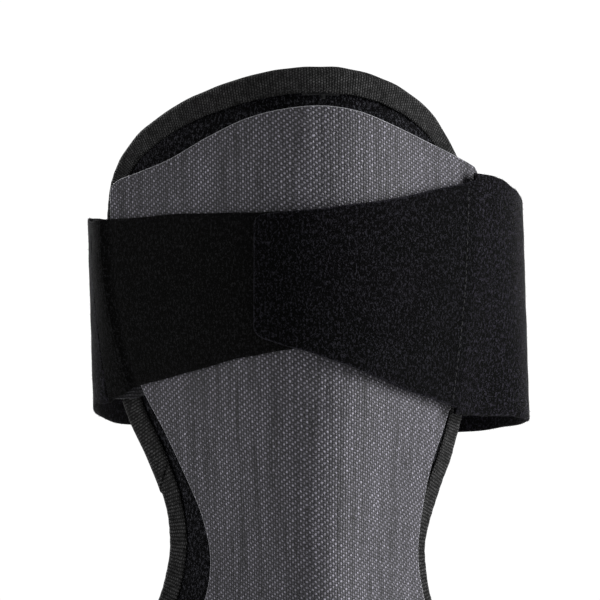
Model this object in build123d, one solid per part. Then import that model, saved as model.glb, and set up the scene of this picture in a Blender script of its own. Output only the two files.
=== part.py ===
from build123d import *
import os

import numpy as np

# A shin guard worn on the front of a lower leg, in millimetres.
# +Z is up the leg, -Y is the front and the origin is on the leg's axis, level with the strap's middle.
# Left and right are as seen from the front: left is -X.
# A name that ends in _AT is a height, and one that ends in LEFT, RIGHT or HALF is a distance from the
# shin's centre line.

# Hard shell.
SHELL_TOP_AT = 68.0
SHELL_LEFT_CORNER_AT = 43.0
SHELL_RIGHT_CORNER_AT = 49.5
CALF_MIDDLE_AT = 4.0
CALF_AT = -35.0
WAIST_AT = -94.0
ANKLE_AT = -158.0
SHELL_FOOT_AT = -186.0
SHELL_CALF_TOP_LEFT = 73.5
SHELL_CALF_TOP_RIGHT = 61.5
SHELL_CALF_LEFT = 61.5
SHELL_CALF_RIGHT = 52.0
SHELL_CALF_TAPER = 2.5
SHELL_WAIST_HALF = 38.0
SHELL_ANKLE_HALF = 54.0
SHELL_CORNER_RADIUS = 3.0
SHELL_FOOT_RADIUS = 17.0
SHELL_ARCH = 8.0
FACING_THICKNESS = 0.5
CORE_THICKNESS = 1.9

# Padded liner.
LINER_TOP_AT = 83.0
LINER_SHOULDER_AT = 40.0
LINER_FOOT_AT = -199.0
LINER_CALF_TOP_LEFT = 73.0
LINER_CALF_TOP_RIGHT = 59.0
LINER_CALF_LEFT = 69.0
LINER_CALF_RIGHT = 57.5
LINER_WAIST_LEFT = 52.0
LINER_WAIST_RIGHT = 41.0
LINER_ANKLE_LEFT = 69.0
LINER_ANKLE_RIGHT = 62.0
LINER_ARCH = 8.0
BINDING_WIDTH = 8.5
BINDING_THICKNESS = 0.7
BINDING_FOLD = 1.2
LOOP_FACE_THICKNESS = 0.7
FOAM_THICKNESS = 4.0
BACK_MESH_THICKNESS = 0.8

# Hook patches between shell and liner: centre X, centre height, width and length of each.
HOOK_PATCH_THICKNESS = 1.2
HOOK_PATCHES = {
    "hook_patch_top_left": (-34.0, 30.0, 24.0, 32.0),
    "hook_patch_top_right": (34.0, 30.0, 24.0, 32.0),
    "hook_patch_waist": (0.0, -88.0, 20.0, 45.0),
    "hook_patch_ankle_left": (-30.0, -155.0, 22.0, 28.0),
    "hook_patch_ankle_right": (30.0, -155.0, 22.0, 28.0),
}
PATCH_CORNER_RADIUS = 3.0

# Strap.
LOOP_LEFT = 78.0
LOOP_RIGHT = 81.0
LOOP_BACK = 62.0
LOOP_SIDE_Y = 6.0
STRAP_THICKNESS = 1.6
LANDING_TOP_AT = 32.0
LANDING_END_FOOT_AT = -17.0
LANDING_EDGE_FOOT_AT = -30.0
SEAM_LEFT_TOP_AT = 33.0
SEAM_LEFT_FOOT_AT = -36.0
CALF_BACK_TOP_AT = 38.0
CALF_BACK_FOOT_AT = -42.0
SEAM_RIGHT_TOP_AT = 45.0
SEAM_RIGHT_FOOT_AT = -41.0
TAB_ROOT_TOP_AT = 43.0
TAB_ROOT_FOOT_AT = -39.5
TAB_TIP_TOP_AT = 31.5
TAB_TIP_FOOT_AT = -14.0
TAB_CORNER_RADIUS = 3.5
TAB_HOOK_THICKNESS = 0.8
TAB_HOOK_MARGIN = 4.0
ANCHOR_THICKNESS = 1.2
ANCHOR_TOP_AT = 28.0
ANCHOR_FOOT_AT = -34.0

# Clearances.
BOND_GAP = 0.05
RUNNING_GAP = 0.35

# Cross-sections of the shell's front: y = nose + sqrt(soft^2 + (slope x)^2) - soft.
# A small soft makes a sharp shin ridge, and slope is how steeply the sides run back.
SECTION_AT = (LINER_FOOT_AT, ANKLE_AT, WAIST_AT, CALF_AT, 30.0, LINER_TOP_AT)
SECTION_NOSE = (-70.0, -65.0, -61.0, -62.0, -64.0, -63.0)
SECTION_SOFT = (55.0, 42.0, 18.0, 42.0, 85.0, 105.0)
SECTION_SLOPE = (1.35, 1.25, 1.10, 1.20, 1.45, 1.60)

# Depths behind the shell's front face, measured square to it.
CORE_IN = FACING_THICKNESS + BOND_GAP
PATCH_IN = CORE_IN + CORE_THICKNESS + BOND_GAP
LINER_IN = PATCH_IN + max(HOOK_PATCH_THICKNESS, ANCHOR_THICKNESS) + RUNNING_GAP
LOOP_FACE_IN = LINER_IN + BINDING_THICKNESS + BOND_GAP
FOAM_IN = LOOP_FACE_IN + LOOP_FACE_THICKNESS + BOND_GAP
BACK_MESH_IN = FOAM_IN + FOAM_THICKNESS + BOND_GAP
BINDING_BACK_IN = BACK_MESH_IN + BACK_MESH_THICKNESS + BOND_GAP
LINER_THICKNESS = BINDING_BACK_IN + BINDING_THICKNESS - LINER_IN

# Heights of the strap's layers above the shell's front face.
LANDING_LIFT = RUNNING_GAP
TAB_HOOK_LIFT = LANDING_LIFT + STRAP_THICKNESS + RUNNING_GAP
TAB_LIFT = TAB_HOOK_LIFT + TAB_HOOK_THICKNESS + BOND_GAP

# Places along the strap's closed path: it counts -1 to 1 over the shell from its right edge to its left
# edge, 2 at the loop's left, 3 at its back, 4 at its right and 5 at the shell's right edge again.
PATH_STEP = 60.0
LAP = 6.0
LANDING_END = -44.0 / PATH_STEP
EDGE_LEFT = 1.0
SEAM_LEFT = 1.5
FOLD_LEFT = 2.0
LOOP_BACK_MIDDLE = 3.0
FOLD_RIGHT = 4.0
SEAM_RIGHT = 5.0
TAB_TIP = LAP + 26.0 / PATH_STEP
TAB_HOOK_START = LAP - 18.0 / PATH_STEP
ANCHOR_END = 47.0 / PATH_STEP
CUT = 0.4 / PATH_STEP

ROUNDNESS = 0.6
EDGE_SPARE = 2.0
GRID = 36
GRID_SPARE = 16.0
REACH = 150.0


def smooth_through(at, values, where):
    """Values on the smooth curve through the given points (cubic Hermite)."""
    at = np.array(at)
    values = np.array(values)
    rise = np.gradient(values, at)
    i = np.clip(np.searchsorted(at, where, side="right") - 1, 0, len(at) - 2)
    span = at[i + 1] - at[i]
    t = (where - at[i]) / span
    start = (2 * t**3 - 3 * t**2 + 1) * values[i] + (t**3 - 2 * t**2 + t) * span * rise[i]
    end = (3 * t**2 - 2 * t**3) * values[i + 1] + (t**3 - t**2) * span * rise[i + 1]
    return start + end


def front_y(x, z):
    """Y of the shell's front face."""
    soft = smooth_through(SECTION_AT, SECTION_SOFT, z)
    slope = smooth_through(SECTION_AT, SECTION_SLOPE, z)
    return smooth_through(SECTION_AT, SECTION_NOSE, z) + np.hypot(soft, slope * x) - soft


def moved_square(points, distance):
    """Grid of points moved square to itself, along the cross product of its second and first directions."""
    normal = np.cross(np.gradient(points, axis=1), np.gradient(points, axis=0))
    normal /= np.linalg.norm(normal, axis=2, keepdims=True)
    return points + normal * np.broadcast_to(distance, points.shape[:2])[..., None]


def grid_face(points):
    """Smooth face through a grid of points."""
    return Face.make_surface_from_array_of_points([[Vector(*p) for p in row] for row in points.tolist()])


def slab(lower, upper):
    """Solid between two grids of points of the same size, with ruled sides."""
    bottom, top = grid_face(lower), grid_face(upper)
    rims = zip(bottom.edges(), top.edges())
    return Solid(Shell([bottom, top] + [Face.make_surface_from_curves(low, high) for low, high in rims]))


def outline(sides, radii):
    """Face in the XZ plane inside splines that meet end to end, with a rounded corner at the start of each."""
    wire = Wire([Edge.make_spline([Vector(x, 0, z) for x, z in side]) for side in sides])
    for side, radius in zip(sides, radii):
        corner = wire.vertices().sort_by_distance(Vector(side[0][0], 0, side[0][1]))[0]
        wire = wire.fillet_2d(radius, [corner])
    return Face(wire)


def guard_plate(shape, depth_in, thickness):
    """Plate with the given front outline, whose front lies depth_in behind the shell's front face."""
    low = shape.bounding_box().min
    high = shape.bounding_box().max
    x, z = np.meshgrid(
        np.linspace(low.X - GRID_SPARE, high.X + GRID_SPARE, GRID),
        np.linspace(low.Z - 3, high.Z + 3, GRID),
        indexing="ij",
    )
    front = np.stack([x, front_y(x, z), z], axis=2)
    return slab(moved_square(front, depth_in), moved_square(front, depth_in + thickness)) & through_cut(shape)


def through_cut(shape):
    """Bar with the given front outline that runs right through the guard from front to back."""
    return extrude(shape, amount=REACH, dir=(0, 1, 0), both=True)


def shell_outline():
    """Front outline of the shell: a crest with sloping shoulders, a waist and a flared foot with an arch."""
    left_corner = (-SHELL_CALF_TOP_LEFT, SHELL_LEFT_CORNER_AT)
    right_corner = (SHELL_CALF_TOP_RIGHT, SHELL_RIGHT_CORNER_AT)
    left_foot = (1 - SHELL_ANKLE_HALF, SHELL_FOOT_AT)
    right_foot = (SHELL_ANKLE_HALF - 1, SHELL_FOOT_AT)
    left = [
        left_foot,
        (-SHELL_ANKLE_HALF, ANKLE_AT),
        (-SHELL_WAIST_HALF, WAIST_AT),
        (-SHELL_CALF_LEFT, CALF_AT),
        (SHELL_CALF_TAPER - SHELL_CALF_TOP_LEFT, CALF_MIDDLE_AT),
        left_corner,
    ]
    crest = [
        left_corner,
        (-0.74 * SHELL_CALF_TOP_LEFT, SHELL_TOP_AT - 17.5),
        (-0.37 * SHELL_CALF_TOP_LEFT, SHELL_TOP_AT - 3.6),
        (0.03 * SHELL_CALF_TOP_RIGHT, SHELL_TOP_AT),
        (0.42 * SHELL_CALF_TOP_RIGHT, SHELL_TOP_AT - 5.5),
        (0.83 * SHELL_CALF_TOP_RIGHT, SHELL_TOP_AT - 14.7),
        right_corner,
    ]
    right = [
        right_corner,
        (SHELL_CALF_TOP_RIGHT - SHELL_CALF_TAPER, CALF_MIDDLE_AT),
        (SHELL_CALF_RIGHT, CALF_AT),
        (SHELL_WAIST_HALF, WAIST_AT),
        (SHELL_ANKLE_HALF, ANKLE_AT),
        right_foot,
    ]
    arch = [
        right_foot,
        (SHELL_ANKLE_HALF / 2, SHELL_FOOT_AT + 0.35 * SHELL_ARCH),
        (0, SHELL_FOOT_AT + SHELL_ARCH),
        (-SHELL_ANKLE_HALF / 2, SHELL_FOOT_AT + 0.35 * SHELL_ARCH),
        left_foot,
    ]
    radii = (SHELL_FOOT_RADIUS, SHELL_CORNER_RADIUS, SHELL_CORNER_RADIUS, SHELL_FOOT_RADIUS)
    return outline([left, crest, right, arch], radii)


def liner_outline(inset):
    """Front outline of the liner's rim, moved inwards by inset: a domed top and a flared foot."""
    left = [
        (0, LINER_TOP_AT),
        (-0.2 * LINER_CALF_TOP_LEFT, LINER_TOP_AT - 0.8),
        (-0.42 * LINER_CALF_TOP_LEFT, LINER_TOP_AT - 4),
        (-0.84 * LINER_CALF_TOP_LEFT, LINER_TOP_AT - 19),
        (-LINER_CALF_TOP_LEFT, LINER_SHOULDER_AT),
        (-LINER_CALF_LEFT, CALF_AT + 5),
        (2 - LINER_WAIST_LEFT, WAIST_AT + 20),
        (-LINER_WAIST_LEFT - 1, WAIST_AT - 8),
        (-LINER_ANKLE_LEFT, ANKLE_AT),
        (7 - LINER_ANKLE_LEFT, LINER_FOOT_AT + 10),
        (-0.5 * LINER_ANKLE_LEFT, LINER_FOOT_AT),
        (-0.15 * LINER_ANKLE_LEFT, LINER_FOOT_AT + 0.8 * LINER_ARCH),
    ]
    right = [
        (0, LINER_FOOT_AT + LINER_ARCH),
        (0.15 * LINER_ANKLE_RIGHT, LINER_FOOT_AT + 0.8 * LINER_ARCH),
        (0.5 * LINER_ANKLE_RIGHT, LINER_FOOT_AT),
        (LINER_ANKLE_RIGHT - 7, LINER_FOOT_AT + 10),
        (LINER_ANKLE_RIGHT, ANKLE_AT),
        (LINER_WAIST_RIGHT + 1, WAIST_AT - 8),
        (LINER_WAIST_RIGHT + 4, WAIST_AT + 20),
        (LINER_CALF_RIGHT, CALF_AT),
        (LINER_CALF_TOP_RIGHT, LINER_SHOULDER_AT),
        (0.72 * LINER_CALF_TOP_RIGHT, LINER_TOP_AT - 14),
        (0.27 * LINER_CALF_TOP_RIGHT, LINER_TOP_AT - 1.4),
    ]
    rim = np.array(left + right)
    along = np.roll(rim, -1, axis=0) - np.roll(rim, 1, axis=0)
    inwards = np.stack([-along[:, 1], along[:, 0]], axis=1) / np.linalg.norm(along, axis=1, keepdims=True)
    rim = (rim + inset * inwards).tolist()
    turn = len(left)
    return outline([rim[: turn + 1], rim[turn:] + rim[:1]], ())


def make_shell():
    """Facing and core of the hard shell."""
    shape = shell_outline()
    facing = guard_plate(shape, 0, FACING_THICKNESS)
    core = guard_plate(shape, CORE_IN, CORE_THICKNESS)
    return {"shell_facing": facing, "shell_core": core}


def make_hook_patches():
    """Rounded hook patches on the back of the core."""
    patches = {}
    for name, (x, z, width, length) in HOOK_PATCHES.items():
        shape = Plane.XZ * Pos(x, z) * RectangleRounded(width, length, PATCH_CORNER_RADIUS)
        patches[name] = guard_plate(shape.face(), PATCH_IN, HOOK_PATCH_THICKNESS)
    return patches


def make_liner():
    """Liner's layers inside the U-shaped binding that is folded over its rim."""
    pocket_depth = LINER_THICKNESS - 2 * BINDING_THICKNESS
    pocket = guard_plate(liner_outline(BINDING_FOLD), LINER_IN + BINDING_THICKNESS, pocket_depth)
    window = through_cut(liner_outline(BINDING_WIDTH))
    binding = guard_plate(liner_outline(0), LINER_IN, LINER_THICKNESS) - pocket - window
    filling = liner_outline(BINDING_FOLD + BOND_GAP)
    return {
        "liner_binding": binding,
        "liner_loop_face": guard_plate(filling, LOOP_FACE_IN, LOOP_FACE_THICKNESS),
        "liner_foam": guard_plate(filling, FOAM_IN, FOAM_THICKNESS),
        "liner_back_mesh": guard_plate(filling, BACK_MESH_IN, BACK_MESH_THICKNESS),
    }


def curve(start, towards_start, towards_end, end, t):
    """Points on a cubic Bezier curve."""
    t = t[..., None]
    s = 1 - t
    return s**3 * start + 3 * s**2 * t * towards_start + 3 * s * t**2 * towards_end + t**3 * end


def side_run(side, loop_width, t, z):
    """Path from the shell's edge, where t is 0, to the loop's side, where t is 1; side is -1 or 1."""
    top = SHELL_CALF_TOP_LEFT if side < 0 else SHELL_CALF_TOP_RIGHT
    low = SHELL_CALF_LEFT if side < 0 else SHELL_CALF_RIGHT
    widths = (SHELL_WAIST_HALF, low, top - SHELL_CALF_TAPER, top)
    heights = (WAIST_AT, CALF_AT, CALF_MIDDLE_AT, SHELL_LEFT_CORNER_AT)
    edge_x = side * (smooth_through(heights, widths, z) + EDGE_SPARE)
    edge = np.stack([edge_x, front_y(edge_x, z), z], axis=2)
    beyond = np.stack([edge_x + side, front_y(edge_x + side, z), z], axis=2)
    loop = np.stack([0 * z + side * loop_width, 0 * z + LOOP_SIDE_Y, z], axis=2)
    reach = np.linalg.norm(loop - edge, axis=2, keepdims=True) / 3
    heading = (beyond - edge) / np.linalg.norm(beyond - edge, axis=2, keepdims=True)
    return edge, curve(edge, edge + reach * heading, loop - reach * (0, 1, 0), loop, t)


def back_run(side, loop_width, t, z):
    """Path from the loop's side, where t is 0, round to the middle of its back, where t is 1."""
    start = np.stack([0 * z + side * loop_width, 0 * z + LOOP_SIDE_Y, z], axis=2)
    end = np.stack([0 * z, 0 * z + LOOP_BACK, z], axis=2)
    depth = ROUNDNESS * (LOOP_BACK - LOOP_SIDE_Y)
    width = ROUNDNESS * side * loop_width
    return curve(start, start + np.array([0, depth, 0]), end + np.array([width, 0, 0]), end, t)


def strap_path(w, z):
    """Points at the strap's places w and heights z, level with the shell's front face."""
    w = np.where(w > SEAM_RIGHT, w - LAP, w)
    edge_left, side_left = side_run(-1, LOOP_LEFT, w - EDGE_LEFT, z)
    edge_right, side_right = side_run(1, LOOP_RIGHT, SEAM_RIGHT - w, z)
    spare = np.where(w > 0, -edge_left[..., 0], edge_right[..., 0]) - PATH_STEP
    x = -PATH_STEP * w - spare * w**3
    front = np.stack([x, front_y(x, z), z], axis=2)
    back_left = back_run(-1, LOOP_LEFT, w - FOLD_LEFT, z)
    back_right = back_run(1, LOOP_RIGHT, FOLD_RIGHT - w, z)
    place = w[..., None]
    stretches = [place <= EDGE_LEFT, place <= FOLD_LEFT, place <= LOOP_BACK_MIDDLE, place <= FOLD_RIGHT]
    return np.select(stretches, [front, side_left, back_left, back_right], side_right)


def strap_piece(start, end, foot, top, lift, thickness):
    """Band between two places on the path; foot, top and lift are functions of the place."""
    w = np.linspace(start, end, GRID)[:, None] * np.ones((1, GRID))
    z = foot(w) + (top(w) - foot(w)) * np.linspace(0, 1, GRID)
    path = strap_path(w, z)
    return slab(moved_square(path, lift(w)), moved_square(path, lift(w) + thickness))


def between(places, values):
    """Function that follows the smooth curve through the values at those places."""
    return lambda w: smooth_through(places, values, w)


def rounded_end(band, place, heights, radius):
    """Band whose two corners at the given place are rounded."""
    w = np.full((2, 2), place)
    z = np.array([heights, heights])
    for corner in strap_path(w, z)[0]:
        edge = band.edges().filter_by(lambda e: e.length < 3).sort_by_distance(Vector(*corner.tolist()))[0]
        band = band.fillet(radius, [edge])
    return band


def make_strap():
    """Strap, from the anchor and the landing round the calf to the tab that laps over the landing."""
    landing_top = between((LANDING_END, SEAM_LEFT), (LANDING_TOP_AT, SEAM_LEFT_TOP_AT))
    landing_foot = between(
        (LANDING_END, EDGE_LEFT, SEAM_LEFT), (LANDING_END_FOOT_AT, LANDING_EDGE_FOOT_AT, SEAM_LEFT_FOOT_AT)
    )
    calf_places = (SEAM_LEFT, LOOP_BACK_MIDDLE, SEAM_RIGHT)
    calf_top = between(calf_places, (SEAM_LEFT_TOP_AT, CALF_BACK_TOP_AT, SEAM_RIGHT_TOP_AT))
    calf_foot = between(calf_places, (SEAM_LEFT_FOOT_AT, CALF_BACK_FOOT_AT, SEAM_RIGHT_FOOT_AT))
    calf_lift = between((SEAM_LEFT, FOLD_RIGHT, SEAM_RIGHT), (LANDING_LIFT, LANDING_LIFT, TAB_LIFT))
    low_lift = between((LANDING_END, SEAM_RIGHT), (LANDING_LIFT, LANDING_LIFT))
    tab_places = (SEAM_RIGHT, TAB_TIP)
    tab_top = between(tab_places, (TAB_ROOT_TOP_AT, TAB_TIP_TOP_AT))
    tab_foot = between(tab_places, (TAB_ROOT_FOOT_AT, TAB_TIP_FOOT_AT))
    tab_lift = between(tab_places, (TAB_LIFT, TAB_LIFT))
    anchor_places = (ANCHOR_END, EDGE_LEFT + CUT, SEAM_LEFT)
    behind_shell = -PATCH_IN - ANCHOR_THICKNESS
    anchor_lift = between(anchor_places, (behind_shell, behind_shell, -ANCHOR_THICKNESS))
    anchor_top = between(anchor_places, (ANCHOR_TOP_AT, ANCHOR_TOP_AT, ANCHOR_TOP_AT))
    anchor_foot = between(anchor_places, (ANCHOR_FOOT_AT, ANCHOR_FOOT_AT, ANCHOR_FOOT_AT))
    tab = strap_piece(SEAM_RIGHT + CUT, TAB_TIP, tab_foot, tab_top, tab_lift, STRAP_THICKNESS)
    hook = strap_piece(
        TAB_HOOK_START,
        TAB_TIP - TAB_HOOK_MARGIN / PATH_STEP,
        lambda w: tab_foot(w) + TAB_HOOK_MARGIN,
        lambda w: tab_top(w) - TAB_HOOK_MARGIN,
        lambda w: 0 * w + TAB_HOOK_LIFT,
        TAB_HOOK_THICKNESS,
    )
    fold = CUT / 2
    calf = [
        strap_piece(a, b, calf_foot, calf_top, calf_lift, STRAP_THICKNESS)
        for a, b in (
            (SEAM_LEFT + CUT, FOLD_LEFT - fold),
            (FOLD_LEFT + fold, FOLD_RIGHT - fold),
            (FOLD_RIGHT + fold, SEAM_RIGHT),
        )
    ]
    return {
        "landing_strap": strap_piece(
            LANDING_END, SEAM_LEFT, landing_foot, landing_top, low_lift, STRAP_THICKNESS
        ),
        "strap_anchor": strap_piece(
            ANCHOR_END, SEAM_LEFT, anchor_foot, anchor_top, anchor_lift, ANCHOR_THICKNESS
        ),
        "calf_strap_root": calf[0],
        "calf_strap": calf[1],
        "calf_strap_front": calf[2],
        "strap_tab": rounded_end(tab, TAB_TIP, (TAB_TIP_FOOT_AT, TAB_TIP_TOP_AT), TAB_CORNER_RADIUS),
        "tab_hook": hook,
    }


os.makedirs("parts", exist_ok=True)
for node, solid in {**make_shell(), **make_hook_patches(), **make_liner(), **make_strap()}.items():
    export_step(solid, f"parts/{node}.step")
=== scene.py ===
"""Shin guard: a woven-faced hard shell over a bound, padded liner, held by one wide wrap-round strap.

Lengths are in millimetres until a mesh is written, in the same frame as the solids: +Z up the leg, -Y the
front of the shin and the origin on the leg's axis, level with the middle of the strap.  Left is -X.
"""
import logging
import math
from dataclasses import dataclass, field
from enum import Enum
from typing import Any, Sequence

import bmesh
import bpy
import numpy as np
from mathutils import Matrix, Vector


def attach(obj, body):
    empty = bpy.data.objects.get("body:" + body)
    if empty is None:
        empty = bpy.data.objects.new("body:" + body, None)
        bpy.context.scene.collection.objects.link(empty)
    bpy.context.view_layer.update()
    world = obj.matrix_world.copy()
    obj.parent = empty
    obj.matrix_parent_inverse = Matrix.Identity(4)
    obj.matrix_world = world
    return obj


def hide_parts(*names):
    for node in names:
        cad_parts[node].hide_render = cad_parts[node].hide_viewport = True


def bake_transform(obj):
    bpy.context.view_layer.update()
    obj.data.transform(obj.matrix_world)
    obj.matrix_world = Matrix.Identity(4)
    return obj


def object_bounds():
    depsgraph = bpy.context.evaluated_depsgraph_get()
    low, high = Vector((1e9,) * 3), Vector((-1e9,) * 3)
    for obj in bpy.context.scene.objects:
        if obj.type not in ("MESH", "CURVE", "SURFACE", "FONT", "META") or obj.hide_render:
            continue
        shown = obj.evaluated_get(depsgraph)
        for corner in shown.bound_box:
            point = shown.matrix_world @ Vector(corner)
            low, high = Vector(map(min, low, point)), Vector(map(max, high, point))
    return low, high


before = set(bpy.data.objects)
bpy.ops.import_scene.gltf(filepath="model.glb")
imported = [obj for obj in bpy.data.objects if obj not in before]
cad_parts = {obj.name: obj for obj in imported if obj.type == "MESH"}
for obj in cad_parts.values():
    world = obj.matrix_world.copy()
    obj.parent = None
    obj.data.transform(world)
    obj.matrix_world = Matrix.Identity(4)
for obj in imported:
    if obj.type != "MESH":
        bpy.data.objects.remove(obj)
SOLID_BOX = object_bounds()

Array = np.ndarray

LOG = logging.getLogger("shin_guard")
MM = 0.001
SEED = 20

# Heights at which the shell's cross-section is given, and its nose, softness and side slope there.
SECTION_AT = (-199.0, -158.0, -94.0, -35.0, 30.0, 83.0)
SECTION_NOSE = (-70.0, -65.0, -61.0, -62.0, -64.0, -63.0)
SECTION_SOFT = (55.0, 42.0, 18.0, 42.0, 85.0, 105.0)
SECTION_SLOPE = (1.35, 1.25, 1.10, 1.20, 1.45, 1.60)


# ---------------------------------------------------------------- curves and surfaces


def smooth_through(at: Sequence[float], values: Sequence[float], where: Array) -> Array:
    """Follow the smooth curve through some points.

    Cubic Hermite: each span blends its two end values and slopes, with slopes from central differences.

    Args:
        at: where the points lie, rising.
        values: the values there.
        where: where values are wanted.

    Returns:
        The values on the curve.
    """
    at, values = np.asarray(at, float), np.asarray(values, float)
    rise = np.gradient(values, at)
    i = np.clip(np.searchsorted(at, where, side="right") - 1, 0, len(at) - 2)
    span = at[i + 1] - at[i]
    t = (where - at[i]) / span
    start = (2 * t**3 - 3 * t**2 + 1) * values[i] + (t**3 - 2 * t**2 + t) * span * rise[i]
    end = (3 * t**2 - 2 * t**3) * values[i + 1] + (t**3 - t**2) * span * rise[i + 1]
    return start + end


def closed_curve(points: Sequence[tuple[float, float]], count: int) -> Array:
    """Sample a smooth closed curve through some points, evenly along its length.

    The points are repeated on both sides of the seam, joined by Hermite spans over their chord lengths,
    and sampled again at even steps of length.

    Args:
        points: the points, in order, without the first repeated.
        count: how many samples to return.

    Returns:
        A count by 2 array that starts at the first point.
    """
    ring = np.array([*points[-3:], *points, *points[:4]], float)
    chord = np.concatenate([[0], np.cumsum(np.linalg.norm(np.diff(ring, axis=0), axis=1))])
    fine = np.linspace(chord[3], chord[-4], 40 * count + 1)
    curve = np.stack([smooth_through(chord, ring[:, k], fine) for k in range(2)], axis=1)
    length = np.concatenate([[0], np.cumsum(np.linalg.norm(np.diff(curve, axis=0), axis=1))])
    even = np.linspace(0, length[-1], count + 1)[:-1]
    return np.stack([np.interp(even, length, curve[:, k]) for k in range(2)], axis=1)


def pulse(x: Array, start: float, end: float, soft: float) -> Array:
    """Rise smoothly from 0 to 1 at start and fall again at end, over a length soft."""
    return np.clip((x - start) / soft, 0, 1) * np.clip((end - x) / soft, 0, 1)


def wander(x: Array, pitch: float, seed: float) -> Array:
    """Slow, even-handed wobble between about -1 and 1: three sines of unrelated pitch added up."""
    k = 2 * math.pi / pitch
    return (np.sin(k * x + seed) + np.sin(1.73 * k * x + 2.1 * seed) + np.sin(0.59 * k * x + 3.7 * seed)) / 3


@dataclass(frozen=True)
class GuardSurface:
    """Front face of the hard shell, and every surface at an even depth behind it."""

    step: float = 0.05
    girth_samples: int = 24

    def y(self, x: Array, z: Array) -> Array:
        """Front face: y = nose + sqrt(soft^2 + (slope x)^2) - soft, with all three following z."""
        nose, soft, slope = (
            smooth_through(SECTION_AT, row, z) for row in (SECTION_NOSE, SECTION_SOFT, SECTION_SLOPE)
        )
        return nose + np.hypot(soft, slope * x) - soft

    def inward(self, x: Array, z: Array) -> Array:
        """Unit normal that points to the leg: (-dy/dx, 1, -dy/dz), made unit length."""
        e = self.step
        dx = (self.y(x + e, z) - self.y(x - e, z)) / (2 * e)
        dz = (self.y(x, z + e) - self.y(x, z - e)) / (2 * e)
        normal = np.stack([-dx, np.ones_like(dx), -dz], axis=-1)
        return normal / np.linalg.norm(normal, axis=-1, keepdims=True)

    def point(self, x: Array, z: Array, depth: Array | float = 0.0) -> Array:
        """Point at x and z on the front face, moved depth towards the leg along the normal."""
        x, z = np.broadcast_arrays(x, z)
        depth = np.broadcast_to(depth, x.shape)
        return np.stack([x, self.y(x, z), z], axis=-1) + self.inward(x, z) * depth[..., None]

    def girth(self, x: Array, z: Array) -> Array:
        """Length along the front face from its ridge to x: x times the mean of sqrt(1 + (dy/dx)^2)."""
        share = (np.arange(self.girth_samples) + 0.5) / self.girth_samples
        xs, zs = x[..., None] * share, z[..., None] + 0 * share
        slope = (self.y(xs + self.step, zs) - self.y(xs - self.step, zs)) / (2 * self.step)
        return x * np.sqrt(1 + slope**2).mean(axis=-1)


GUARD = GuardSurface()


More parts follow.
